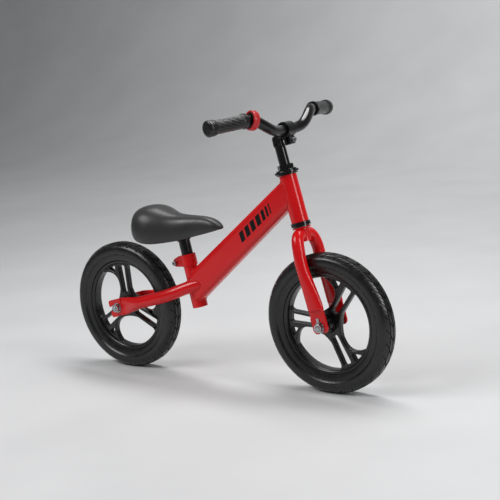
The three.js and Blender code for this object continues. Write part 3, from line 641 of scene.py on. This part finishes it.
def make_axle_set(end, base, half_span, body, tab):
    """Rod, spacers, washers and nuts of one axle, about Y through the base frame's origin."""
    about = base @ ABOUT_Y
    plate_in = half_span - 2.6
    plate_out = half_span + 2.6
    nut_in = plate_out + 2
    tip = nut_in + 9
    rod = [(0, -30), (4.5, -30), (4.5, 30), (0, 30)]
    middle = turned("rod", rod, about, 32)
    right = threaded("right_end", 4.8, -tip, -29, about, 1.25)
    left = threaded("left_end", 4.8, 29, tip, about, 1.25)
    finished(f"{end}_axle_rod", joined(f"{end}_axle_rod", middle, right, left), ZINC, body, [f"{end}_axle"])
    for name, sign in SIDES.items():
        mirror = about @ Matrix.Scale(sign, 4, (0, 0, 1))
        near = 27.3
        far = plate_in - 0.3
        sleeve = [(5.1, near), (8.0, near), (8.5, near + 0.5), (8.5, far - 0.5), (8.0, far), (5.1, far)]
        mesh = turned(f"{end}_spacer_{name}", sleeve, mirror, 40, loop=True)
        finished(mesh.name, mesh, ZINC, body, [f"{end}_axle_spacer_{name}"])
        a = plate_out + 0.3
        b = nut_in - 0.3
        disc = [(5.1, a), (10.8, a), (11, a + 0.3), (11, b - 0.3), (10.8, b), (5.1, b)]
        mesh = turned(f"{end}_washer_{name}", disc, mirror, 48, loop=True)
        if tab:
            outline = rounded([(-3, 6), (3, 6), (3, 19), (-3, 19)], 1.2, 3)
            leaf = plate("tab", outline, [], 0.7, 0.2, base @ Matrix.Translation((0, sign * (a + b) / 2, 0)), 2)
            mesh = joined(f"{end}_washer_{name}", mesh, leaf)
        finished(f"{end}_washer_disc_{name}", mesh, ZINC, body, [f"{end}_axle_washer_{name}"])
        mesh = hex_nut(f"{end}_nut_{name}", 19.6, nut_in, nut_in + 7, 5.1, mirror)
        finished(f"{end}_wheel_nut_{name}", mesh, ZINC, body, [f"{end}_axle_nut_{name}"], 20)


# Frame
def add_red(name, mesh, nodes, body="frame", sharp=38):
    return finished(name, mesh, RED, body, nodes, sharp)


def make_head_tube():
    top = HEAD_LENGTH
    profile = [(15.2, 0), (17.4, 0), (18, 0.6), (18, top - 0.6), (17.4, top), (15.2, top)]
    add_red("painted_head_tube", turned("head", profile, STEER, 96, loop=True), ["head_tube"])


MAIN_LOW = ((-63.0, 160.5), (-76.9, 230.1))
MAIN_HIGH = ((208.9, 386.7), (195.7, 443.3))
MAIN_HALF_WIDTH = 17.0


def main_section():
    """Half of the section as (share of the height, y): flat sides, big round top and bottom."""
    points = []
    for k in range(13):
        a = math.radians(90 * k / 12)
        points.append((1 - 0.22 * (1 - math.cos(a)), 5.5 + 11.5 * math.sin(a)) if k else (1.0, 5.5))
    points = [(1.0, 0.0), (1.0, 3.0)] + points
    low = [(1 - share, y) for share, y in points[::-1]]
    return points + [(0.6, 17.0), (0.4, 17.0)] + low


def make_main_tube():
    half = main_section()
    section = half + [(share, -y) for share, y in half[1:-1]][::-1]
    rows = []
    for k in range(41):
        t = k / 40
        row = []
        for share, y in section:
            low = Vector(MAIN_LOW[0]).lerp(Vector(MAIN_LOW[1]), share)
            high = Vector(MAIN_HIGH[0]).lerp(Vector(MAIN_HIGH[1]), share)
            at = low.lerp(high, t)
            row.append((at.x, y, at.y))
        rows.append(row)
    run = (Vector(rows[-1][0]) - Vector(rows[0][0])).normalized()
    sealed = stopped_in_wall(rows, ROW, SEAT, -run, 14.0)
    sealed = stopped_in_wall(sealed[::-1], ROW, STEER, run, 16.6)
    tube = mesh_of("main", *skinned(sealed))
    head_line = meeting_line(rows, ROW, STEER, 18.2)
    seat_rows = rows[:12]
    seat_line = meeting_line(seat_rows, ROW, SEAT, 17.3)
    add_red("painted_main_tube", tube, ["main_tube"])
    for name, line in (("head", head_line), ("seat", seat_line)):
        finished(f"weld_main_{name}", ring_bead(f"weld_main_{name}", line), WELD, "frame", [])


def make_stickers():
    """Plain slanted bars on both sides of the main tube: a generic stripe pattern."""
    run = Vector((MAIN_HIGH[0][0] + MAIN_HIGH[1][0] - MAIN_LOW[0][0] - MAIN_LOW[1][0],
                  MAIN_HIGH[0][1] + MAIN_HIGH[1][1] - MAIN_LOW[0][1] - MAIN_LOW[1][1])).normalized()
    rise = Vector((-run.y, run.x))
    middle = Vector((121.0, 351.5))
    bars = [(-62, 13), (-43, 13), (-24, 13), (-5, 13), (14, 9), (28, 6), (39, 3.5)]
    for name, sign in SIDES.items():
        parts = []
        for start, width in bars:
            corners = [(start, -10), (start + width, -10), (start + width + 8, 10), (start + 8, 10)]
            outline = [tuple(middle + run * u + rise * v) for u, v in corners]
            place = Matrix.Translation((0, sign * (MAIN_HALF_WIDTH + 0.02), 0))
            parts.append(plate("bar", rounded(outline, 1.2, 3), [], 0.12, 0.04, place, 1))
        mesh = joined(f"stripe_sticker_{name}", *parts)
        finished(f"stripe_sticker_{name}", mesh, INK, "frame", [])


def make_seat_tube():
    profile = [(13.0, 0.6), (13.6, 0), (16.2, 0), (16.8, 0.6), (16.8, 61), (15.6, 62.2), (15, 63.2),
               (15, 117.4), (14.4, 118), (13.0, 118)]
    add_red("painted_seat_tube", turned("seat", profile, SEAT, 96, loop=True), ["seat_tube"])


def make_seat_clamp():
    profile = [(15.3, 93), (16.8, 93), (17.3, 93.5), (17.3, 97.4), (16.9, 97.7), (16.9, 98.2), (17.3, 98.5),
               (17.3, 113.2), (16.9, 113.5), (16.9, 114), (17.3, 114.3), (17.3, 117.8), (16.8, 118.3),
               (15.3, 118.3)]
    collar = turned("collar", profile, SEAT, 96, loop=True)
    outline = rounded([(-14, 94), (-14, 118.3), (-22, 118), (-40, 112), (-40, 97), (-22, 94)],
                      [1, 1, 6, 7, 7, 6], 6)
    ears = [plate(f"ear{sign}", outline, [], 3, 1.2, SEAT @ Matrix.Translation((0, 4.5 * sign, 0)), 3)
            for sign in (-1, 1)]
    add_red("painted_seat_collar", joined("collar", collar, *ears), ["seat_clamp"])
    bolt_at = SEAT @ Matrix.Translation((-33, 0, 105)) @ ABOUT_Y
    socket_screw("seat_collar_screw", bolt_at, 5.2, -15, -7.8, 3.0, 13, "frame", ["seat_clamp_bolt"])
    nut = hex_nut("seat_collar_nut", 11.2, 7.8, 12.4, 3.3, bolt_at)
    finished("seat_collar_nut_piece", nut, ZINC, "frame", ["seat_clamp_nut"], 20)


def socket_screw(name, matrix, head, low, high, shank, end, body, nodes, material=None):
    """A screw about Z: round head with a six-sided socket from low to high, shank on to end."""
    steps = 48
    wall = 0.52 * head

    def inner(angle):
        part = angle % (math.pi / 3) - math.pi / 6
        return wall * math.cos(math.pi / 6) / math.cos(part)

    def row(radius, z):
        out = []
        for i in range(steps):
            angle = 2 * math.pi * i / steps
            r = inner(angle) if radius is None else radius
            out.append((r * math.cos(angle), r * math.sin(angle), z))
        return out

    depth = (high - low) * 0.5
    rows = [row(0.02, low + depth), row(None, low + depth), row(None, low + 0.3), row(wall + 0.4, low),
            row(head - 0.6, low), row(head, low + 0.6), row(head, high - 0.2), row(head - 0.3, high),
            row(shank, high), row(shank, end - 0.6), row(shank - 0.6, end), row(0.02, end)]
    mesh = mesh_of(name, *skinned(rows), matrix)
    finished(name, mesh, material or ZINC, body, nodes, 25)


def stay_press(sign):
    def press(point, centre):
        x = min(max((point.x - 14) / 60, 0), 1)
        flat = 1 - x * x * (3 - 2 * x)
        y = sign * 37.5 + (point.y - sign * 37.5) * (1 - flat * (1 - 2.6 / 13.6))
        return Vector((point.x, y, point.z * (1 + 0.45 * flat)))
    return press


def make_chainstay(name, sign):
    path = [(236, sign * 2, 5), (212, sign * 13.5, 5), (192, sign * 21.5, 3.5), (166, sign * 30.5, 0.5),
            (136, sign * 35.5, -1), (96, sign * 37.5, -1.2), (60, sign * 37.5, -0.8), (8, sign * 37.5, 0)]
    rows = swept_rows(path, 13.6, 100, 44, stay_press(sign))
    inwards = (Vector(path[0]) - Vector(path[1])).normalized()
    tube = mesh_of("stay", *skinned(stopped_in_wall(rows, STAYS, SEAT, inwards, 14.0)), STAYS)
    line = meeting_line(rows[:40], STAYS, SEAT, 16.9, MAIN_HALF_WIDTH)
    finished(f"weld_stay_{name}", ring_bead(f"weld_stay_{name}", line), WELD, "frame", [])
    arc = [(5.2 * math.cos(a), 5.2 * math.sin(a)) for a in (math.radians(90 - 20 * k) for k in range(10))]
    outline = rounded([(16, 19.7), (-21, 19.7), (-24, 16), (-24, 5.2)], [1, 2.5, 2.5, 1], 4) + arc
    outline += rounded([(-24, -5.2), (-24, -16), (-21, -19.7), (16, -19.7)], [1, 2.5, 2.5, 1], 4)
    tip = plate("tip", outline, [], 2.6, 1.0, STAYS @ Matrix.Translation((0, sign * 37.5, 0)), 3)
    add_red(f"painted_chainstay_{name}", joined("stay", tube, tip), [f"chainstay_{name}"], sharp=50)


# Fork and headset
def blade_press(sign):
    def share(value, low, high):
        t = min(max((value - low) / (high - low), 0), 1)
        return t * t * (3 - 2 * t)

    def press(point, centre):
        wide = 1 - share(point.z, -175, -85)
        flat = 1 - share(point.z, -181.5, -174.5)
        squeeze = (1 - 0.25 * wide) * (1 - flat) + 2.6 / 12.5 * flat
        y = point.y
        if point.z < -85:
            y = sign * 36.5 + (point.y - sign * 36.5) * squeeze
        x = 6.5 * wide + (point.x - 6.5 * wide) * (1 + 0.45 * wide)
        return Vector((x, y, point.z))
    return press


def make_fork_blade(name, sign):
    path = [(0, 0, -23.5), (0, sign * 7, -23.5), (0.5, sign * 20, -26.5), (1.5, sign * 29, -37), (2, sign * 34, -54),
            (1, sign * 36, -76), (1.5, sign * 36.5, -100), (4, sign * 36.5, -130), (6.5, sign * 36.5, -165),
            (6.5, sign * 36.5, -190), (6.5, sign * 36.5, -200)]
    rows = swept_rows(path, 12.5, 110, 44, blade_press(sign))
    inwards = Vector((0, -sign, 0))
    tube = mesh_of("blade", *skinned(stopped_in_wall(rows, STEER, STEER, inwards, 12.05)), STEER)
    line = meeting_line(rows[:30], STEER, STEER, 12.8)
    finished(f"weld_blade_{name}", ring_bead(f"weld_blade_{name}", line, 1.4), WELD, "fork", [])
    mid = 6.5
    arc = [(mid + 5.2 * math.cos(a), -212.5 + 5.2 * math.sin(a)) for a in (math.radians(20 * k) for k in range(10))]
    right = [(mid + 5.2, -225.5), (mid + 12, -225.5), (mid + 17.6, -219), (mid + 17.6, -192)]
    left = [(mid - 17.6, -192), (mid - 17.6, -219), (mid - 12, -225.5), (mid - 5.2, -225.5)]
    outline = rounded(right, [1, 5, 5, 1], 4) + rounded(left, [1, 5, 5, 1], 4) + arc[::-1]
    tip = plate("tip", outline, [], 2.6, 1.0, STEER @ Matrix.Translation((0, sign * 36.5, 0)), 3)
    add_red(f"painted_fork_blade_{name}", joined("blade", tube, tip), [f"fork_blade_{name}"], "fork", 50)


def make_steerer():
    profile = [(11.4, -40), (12.3, -40), (12.7, -39.5), (12.7, -12.7), (18.9, -12.6), (19.5, -12.1),
               (19.5, -10.8), (18.9, -10.2), (12.7, -10.1), (12.7, 118.4), (12.2, 119), (11.4, 119)]
    add_red("painted_steerer", turned("steerer", profile, STEER, 80, loop=True), ["fork_steerer"], "fork")


def make_headset():
    top = HEAD_LENGTH
    lower = [(13.4, -0.3), (20.1, -0.3), (20.5, -0.8), (20.5, -3.2), (20.0, -3.6), (20.0, -4.3), (20.5, -4.7),
             (20.5, -7.5), (20.1, -8), (17.6, -8), (17.6, -3), (13.4, -3)]
    part = turned("lower", lower, STEER, 96, loop=True)
    finished("headset_lower_cup_ring", part, BLACK, "frame", ["headset_lower_cup"])
    race = [(13.0, -9.9), (16.6, -9.9), (17, -9.5), (17, -8.3), (16.6, -7.9), (13.0, -7.9)]
    part = turned("race", race, STEER, 80, loop=True)
    finished("crown_race_ring", part, DARK_ZINC, "fork", ["crown_race"])
    upper = [(13.4, top + 0.3), (21.6, top + 0.3), (22, top + 0.7), (22, top + 2.5), (21.6, top + 3),
             (13.4, top + 3)]
    part = turned("upper", upper, STEER, 96, loop=True)
    finished("headset_upper_cup_ring", part, BLACK, "frame", ["headset_upper_cup"])
    low = top + 3.3
    cap = [(18.4, low), (24.4, low), (25, low + 0.6), (25, low + 3.6), (24.2, low + 4.8), (21.6, low + 5.2),
           (21, low + 5.8), (21, low + 7.4), (20.4, low + 8), (13.0, low + 8), (13.0, low + 4.4),
           (18.4, low + 4.4)]
    part = turned("cap", cap, STEER, 96, loop=True)
    finished("headset_top_cap_disc", part, BLACK, "fork", ["headset_top_cap"])
    turned_nut = STEER @ Matrix.Rotation(math.radians(22), 4, "Z")
    part = hex_nut("locknut", 33.5, top + 11.6, 119.5, 13.0, turned_nut)
    finished("steerer_locknut_piece", part, BLACK, "fork", ["steerer_locknut"], 20)


# Stem and handlebar
def make_stem():
    cx, cz = CLAMP_CENTRE
    quill = turned("quill", [(9.3, 27), (11.1, 27), (11.1, 177.4), (10.3, 178.4), (9.3, 178.4)], STEER, 72, loop=True)
    outline = rounded([(-11, 156), (-11, 175), (-8, 178.5), (8, 185), (20, 201), (26, 200), (30, 175), (13, 173),
                       (11, 166), (11, 156)], [3, 4, 5, 8, 6, 6, 6, 8, 5, 3], 6)
    neck = plate("neck", outline, [], 11.1, 7.5, STEER, 8)
    about = STEER @ Matrix.Translation((cx, 0, cz)) @ ABOUT_Y
    sleeve = [(11.7, -12.6), (12.1, -13), (15.2, -13), (16, -12.2), (16, 12.2), (15.2, 13), (12.1, 13),
              (11.7, 12.6)]
    clamp = turned("clamp", sleeve, about, 72, loop=True)
    ears = []
    for low, high in ((-8, -1), (2, 9)):
        shape = rounded([(cx + low, cz - 31), (cx + high, cz - 31), (cx + high, cz - 12), (cx + low, cz - 12)],
                        [2.5, 2.5, 0.5, 0.5], 4)
        ears.append(plate("ear", shape, [], 8, 2, STEER, 4))
    mesh = joined("stem", quill, neck, clamp, *ears)
    finished("painted_stem", mesh, BLACK, "stem_assembly", ["stem"])
    across = STEER @ Matrix.Translation((cx, 0, cz - 23)) @ Matrix.Rotation(math.radians(90), 4, "Y")
    socket_screw("stem_pinch_screw", across, 5, -12, -8.3, 3, 16, "stem_assembly", ["stem_clamp_bolt"])
    nut = hex_nut("pinch_nut", 11.6, 9.3, 14.3, 3.3, across)
    finished("stem_pinch_nut", nut, ZINC, "stem_assembly", ["stem_clamp_nut"], 20)
    down = STEER @ Matrix.Rotation(math.radians(180), 4, "X")
    socket_screw("stem_expander_screw", down, 6.5, -176, -168.4, 4, -6, "stem_assembly",
                 ["stem_expander_bolt"], DARK_ZINC)


def bar_frame(origin, towards, sign):
    """Frame at a point on the bar whose Z runs outwards along it on the given side."""
    flip = Vector((1, sign, 1))
    at = Vector(origin) * flip
    way = (Vector(towards) * flip - at).normalized()
    turn = Vector((0, 0, 1)).rotation_difference(way).to_matrix().to_4x4()
    return BAR @ Matrix.Translation(at) @ turn


def make_handlebar():
    half = [(0, 14, 0), (0, 22, 0), (0.6, 31, 0.2), (2, 46, 2.4), (2.4, 58, 6.6), (1.2, 70, 12.6),
            (-1.3, 82, 19.4), (-4.6, 93, 25.4), (-7.6, 102, 28.6), (-10.7, 110, 30.2), GRIP_START]
    tip = Vector(GRIP_START).lerp(Vector(GRIP_END), (GRIP_LENGTH - 6) / GRIP_LENGTH)
    half = [Vector(p) for p in half] + [tip]
    other = [Vector((p.x, -p.y, p.z)) for p in half[::-1]]
    mesh = swept("bar", other + [Vector((0, 0, 0))] + half, 11, BAR, 220, 40)
    finished("painted_handlebar", mesh, BLACK, "handlebar_assembly", ["handlebar"])


def grip_rows():
    """Rings along one grip: ridged collars at both ends, slanted grooves wound round the middle."""
    end = GRIP_LENGTH
    start = [(11.4, 0), (14.3, 0), (15.0, 0.6), (15.0, 2.2), (14.4, 2.8), (14.4, 3.6), (15.2, 4.2), (15.2, 6.0),
             (14.4, 6.7), (13.9, 7.4)]
    finish = [(13.9, end - 17.4), (15.2, end - 16.6), (15.6, end - 15.8), (15.6, end - 13.4), (14.6, end - 12.8),
              (14.6, end - 12.0), (15.8, end - 11.4), (15.8, end - 9.0), (14.8, end - 8.4), (14.8, end - 7.6),
              (16.0, end - 7.0), (16.0, end - 3.4), (15.6, end - 2.2), (14.6, end - 1.2), (12.8, end - 0.5),
              (10.9, end - 0.1), (10.4, end - 0.9), (9.2, end - 0.9), (8.7, end - 0.1), (4.4, end),
              (4.0, end - 0.9), (2.6, end - 0.9), (2.2, end - 0.2), (0.6, end)]
    rows = [[(radius, z)] * 96 for radius, z in start]
    low = 8.0
    high = end - 18.0
    for k in range(91):
        z = low + (high - low) * k / 90
        fade = min(1.0, (z - low) / 2.0, (high - z) / 2.0)
        row = []
        for j in range(96):
            wave = math.sin(12 * 2 * math.pi * j / 96 - 0.42 * z)
            groove = min(max(0.5 + 1.6 * (wave - 0.35), 0), 1)
            row.append((13.9 - 0.75 * fade * groove, z))
        rows.append(row)
    return rows + [[(radius, z)] * 96 for radius, z in finish]


def make_grips():
    for name, sign in SIDES.items():
        rows = []
        for row in grip_rows():
            angles = [2 * math.pi * j / 96 for j in range(96)]
            rows.append([(r * math.cos(a), r * math.sin(a), z) for (r, z), a in zip(row, angles)])
        lining = [[(11.4 * math.cos(a), 11.4 * math.sin(a), z) for a in angles] for z in (GRIP_LENGTH - 5.5, 40)]
        mesh = mesh_of("grip", *skinned(lining + rows), bar_frame(GRIP_START, GRIP_END, sign))
        finished(f"ribbed_grip_{name}", mesh, RUBBER, "handlebar_assembly", [f"grip_{name}"], 30)


def make_bell():
    place = bar_frame(BELL_AT, BELL_TOWARDS, -1)
    sleeve = [(11.9, -5), (13.6, -5), (14, -4.6), (14, 5.6), (13.6, 6), (11.9, 6)]
    finished("bell_sleeve", turned("sleeve", sleeve, place, 64, loop=True), PLASTIC, "handlebar_assembly",
             ["bell_mount"])
    hoop = [(14.9, -5.6, 0), (15.3, -6.4, 0), (17.2, -6.9, 0), (18.5, -6.5, 0), (19.1, -5.6, 0), (19.3, -4.6, 0),
            (19.5, -3.8, 0.7), (19.75, 0, 0.7), (19.5, 3.8, 0.7), (19.3, 4.6, 0), (19.1, 5.6, 0), (18.5, 6.5, 0),
            (17.2, 6.9, 0), (15.3, 6.4, 0), (14.9, 5.6, 0)]
    rows = []
    for radius, z, depth in hoop:
        row = []
        for j in range(192):
            a = 2 * math.pi * j / 192
            r = radius - depth * (1 if j % 12 in (0, 1, 2) else 0)
            row.append((r * math.cos(a), r * math.sin(a), z))
        rows.append(row)
    mesh = mesh_of("hoop", *skinned(rows, loop=True), place)
    finished("red_bell_ring", mesh, RED_PLASTIC, "bell", ["bell_ring"])


# Saddle
SEAT_STATIONS = [
    # x, top, bottom edge, half width, in mm about the top of the post
    (-120, 44, 30, 14), (-119, 54, 17, 28), (-114, 62.5, 9, 41), (-106, 69, 3.5, 50), (-94, 73, -1, 57),
    (-78, 74.5, -4.5, 60.5), (-61, 72.8, -5.5, 58.5), (-45, 67.5, -5, 52.5), (-30, 61, -3.5, 44.5),
    (-15, 56.8, -2, 37), (2, 54.8, 0.5, 31), (20, 54, 4.5, 26), (38, 53.4, 8.8, 22.6), (56, 52.8, 13.2, 20.4),
    (72, 51.2, 17, 19), (86, 47.8, 20.4, 17.4), (97, 42.2, 23.4, 14), (105, 36, 25.8, 9), (109.5, 31.5, 28, 4),
]


def seat_ring(x, top, low, wide):
    """Half of one cross-section, from the middle of the top, down the side and in underneath."""
    tall = top - low
    roof = min(low + max(0.3 * tall, 5.0), top - 6.0) if tall > 16 else low + 0.35 * tall
    if -64 < x < 42:
        roof = max(roof, 19.5)
    shape = [
        (0.0, top), (0.22, top - 0.006 * tall), (0.44, top - 0.035 * tall), (0.64, top - 0.10 * tall),
        (0.80, top - 0.20 * tall), (0.91, top - 0.34 * tall), (0.975, top - 0.50 * tall),
        (1.0, top - 0.66 * tall), (0.99, top - 0.80 * tall), (0.955, top - 0.90 * tall),
        (0.90, top - 0.97 * tall), (0.85, low), (0.79, low + 0.01 * tall), (0.75, low + 0.06 * tall),
        (0.72, (low + roof) / 2), (0.68, roof), (0.34, roof), (0.0, roof),
    ]
    return [(x, wide * share, z) for share, z in shape]


def make_saddle():
    rows = []
    for station in SEAT_STATIONS:
        half = seat_ring(*station)
        other = [(x, -y, z) for x, y, z in half[1:-1]][::-1]
        rows.append(half + other)
    mesh = mesh_of("saddle", *skinned(rows), SADDLE)
    seat = finished("padded_saddle", mesh, SKIN, "saddle_assembly", ["saddle_cover"], 180)
    smooth = seat.modifiers.new("smooth", "SUBSURF")
    smooth.levels = 3
    smooth.render_levels = 3
    return seat


def make_seat_post():
    profile = [(10.7, 38), (12.2, 38), (12.7, 38.6), (12.7, 159.4), (12.2, 160), (10.7, 160)]
    finished("painted_seat_post", turned("post", profile, SEAT, 72, loop=True), BLACK, "saddle_assembly",
             ["seat_post"])


def make_saddle_fittings():
    base = rounded([(-60, 26), (-21, 25), (-1, 18), (34, 14.5), (34, -14.5), (-1, -18), (-21, -25), (-60, -26)],
                   4, 4)
    flat = SADDLE @ Matrix.Translation((0, 0, 16.1)) @ Matrix.Rotation(math.radians(-90), 4, "X")
    mesh = plate("base", base, [], 2.4, 0.8, flat, 3)
    finished("saddle_shell_plate", mesh, PLASTIC, "saddle_assembly", ["saddle_base"])
    strap = rounded([(-33, 14), (33, 14), (33, -14), (-33, -14)], 4, 4)
    flat = SADDLE @ Matrix.Translation((0, 0, 12)) @ Matrix.Rotation(math.radians(-90), 4, "X")
    mesh = plate("strap", strap, [], 1.4, 0.5, flat, 3)
    socket = turned("socket", [(13.0, -2.5), (15.1, -2.5), (15.6, -2), (15.6, 11), (13.0, 11)],
                    SADDLE @ Matrix.Rotation(math.radians(-11.3), 4, "Y"), 64, loop=True)
    finished("saddle_bracket_piece", joined("bracket", mesh, socket), BLACK, "saddle_assembly",
             ["saddle_bracket"])
    for name, x in (("rear", -25), ("front", 25)):
        place = SADDLE @ Matrix.Translation((x, 0, 0))
        socket_screw(f"saddle_fixing_{name}", place, 4.5, 6.8, 10.3, 2.5, 18, "saddle_assembly",
                     [f"saddle_screw_{name}"])


# Hidden or nearly hidden pieces keep their CAD shape and get the plated look.
def paint_kept_nodes():
    for node in ("lower_bearing", "upper_bearing", "stem_wedge"):
        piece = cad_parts[node]
        piece.data.materials.clear()
        piece.data.materials.append(DARK_ZINC)


# Camera, lights and floor
def make_camera():
    yaw = math.radians(36.76)
    pitch = math.radians(10.66)
    roll = math.radians(4.71)
    ahead = Vector((-math.sin(yaw) * math.cos(pitch), math.cos(yaw) * math.cos(pitch), -math.sin(pitch)))
    level = Vector((math.cos(yaw), math.sin(yaw), 0))
    down = ahead.cross(level)
    right = level * math.cos(roll) + down * math.sin(roll)
    below = down * math.cos(roll) - level * math.sin(roll)
    data = bpy.data.cameras.new("camera")
    data.sensor_width = 36
    data.lens = 83.17
    data.clip_end = 50
    camera = bpy.data.objects.new("camera", data)
    turn = Matrix((right, -below, -ahead)).transposed().to_4x4()
    camera.matrix_world = Matrix.Translation((1.50656, -1.90239, 0.73379)) @ turn
    bpy.context.scene.collection.objects.link(camera)
    bpy.context.scene.camera = camera


def add_light(name, place, target, size, watts, color=(1, 1, 1)):
    data = bpy.data.lights.new(name, "AREA")
    data.shape = "RECTANGLE"
    data.size, data.size_y = size
    data.energy = watts
    data.color = color
    light = bpy.data.objects.new(name, data)
    light.location = place
    light.rotation_euler = (Vector(target) - Vector(place)).to_track_quat("-Z", "Y").to_euler()
    bpy.context.scene.collection.objects.link(light)


def make_studio():
    world = bpy.data.worlds.new("studio")
    world.use_nodes = True
    world.node_tree.nodes["Background"].inputs["Color"].default_value = (0.86, 0.87, 0.89, 1)
    world.node_tree.nodes["Background"].inputs["Strength"].default_value = 0.18
    bpy.context.scene.world = world
    add_light("key", (-1.0, -1.5, 2.0), (0, 0, 0.25), (1.4, 0.9), 32)
    add_light("top", (0.1, 0.7, 2.3), (0, 0, 0.2), (2.4, 0.5), 36)
    add_light("side", (2.0, -0.1, 1.2), (0.1, 0, 0.3), (0.4, 1.5), 18)
    add_light("backdrop", (-0.5, 2.6, 3.2), (-0.8, 5.0, 1.2), (3.0, 0.6), 70)
    bpy.context.scene.view_settings.view_transform = "Standard"
    mesh = bpy.data.meshes.new("studio_floor")
    rows = [[(x, y, 0.0) for x in (-12, 12)] for y in (-9.0, 3.0)]
    for k in range(1, 13):
        a = math.radians(90 * k / 12)
        y = 3.0 + 2.0 * math.sin(a)
        rows.append([(x, y, 2.0 - 2.0 * math.cos(a)) for x in (-12, 12)])
    rows.append([(x, 5.0, 6.0) for x in (-12, 12)])
    points, faces = skinned(rows, around=False, ends=False)
    mesh.from_pydata(points, [], faces)
    for face in mesh.polygons:
        face.use_smooth = True
    floor = bpy.data.objects.new("studio_floor", mesh)
    bpy.context.scene.collection.objects.link(floor)
    m = Shader("floor_paper", (0.66, 0.66, 0.665), 0.6)
    m.colors(m.noise(3, 3), (0.63, 0.634, 0.64), (0.68, 0.683, 0.688))
    m.bump(m.noise(300, 3), 0.0002, 0.15)
    floor.data.materials.append(m.material)


make_camera()
for wheel_end in ("rear", "front"):
    make_tyre(wheel_end)
    make_wheel(wheel_end)
    for side_name, side_sign in SIDES.items():
        make_bearing(wheel_end, side_name, side_sign)
make_axle_set("rear", STAYS, 37.5, "frame", False)
make_axle_set("front", STEER @ Matrix.Translation((6.5, 0, -212.5)), 36.5, "fork", True)
make_head_tube()
make_main_tube()
make_stickers()
make_seat_tube()
make_seat_clamp()
for side_name, side_sign in SIDES.items():
    make_chainstay(side_name, side_sign)
    make_fork_blade(side_name, side_sign)
make_steerer()
make_headset()
make_stem()
make_handlebar()
make_grips()
make_bell()
make_saddle()
make_seat_post()
make_saddle_fittings()
paint_kept_nodes()
make_studio()
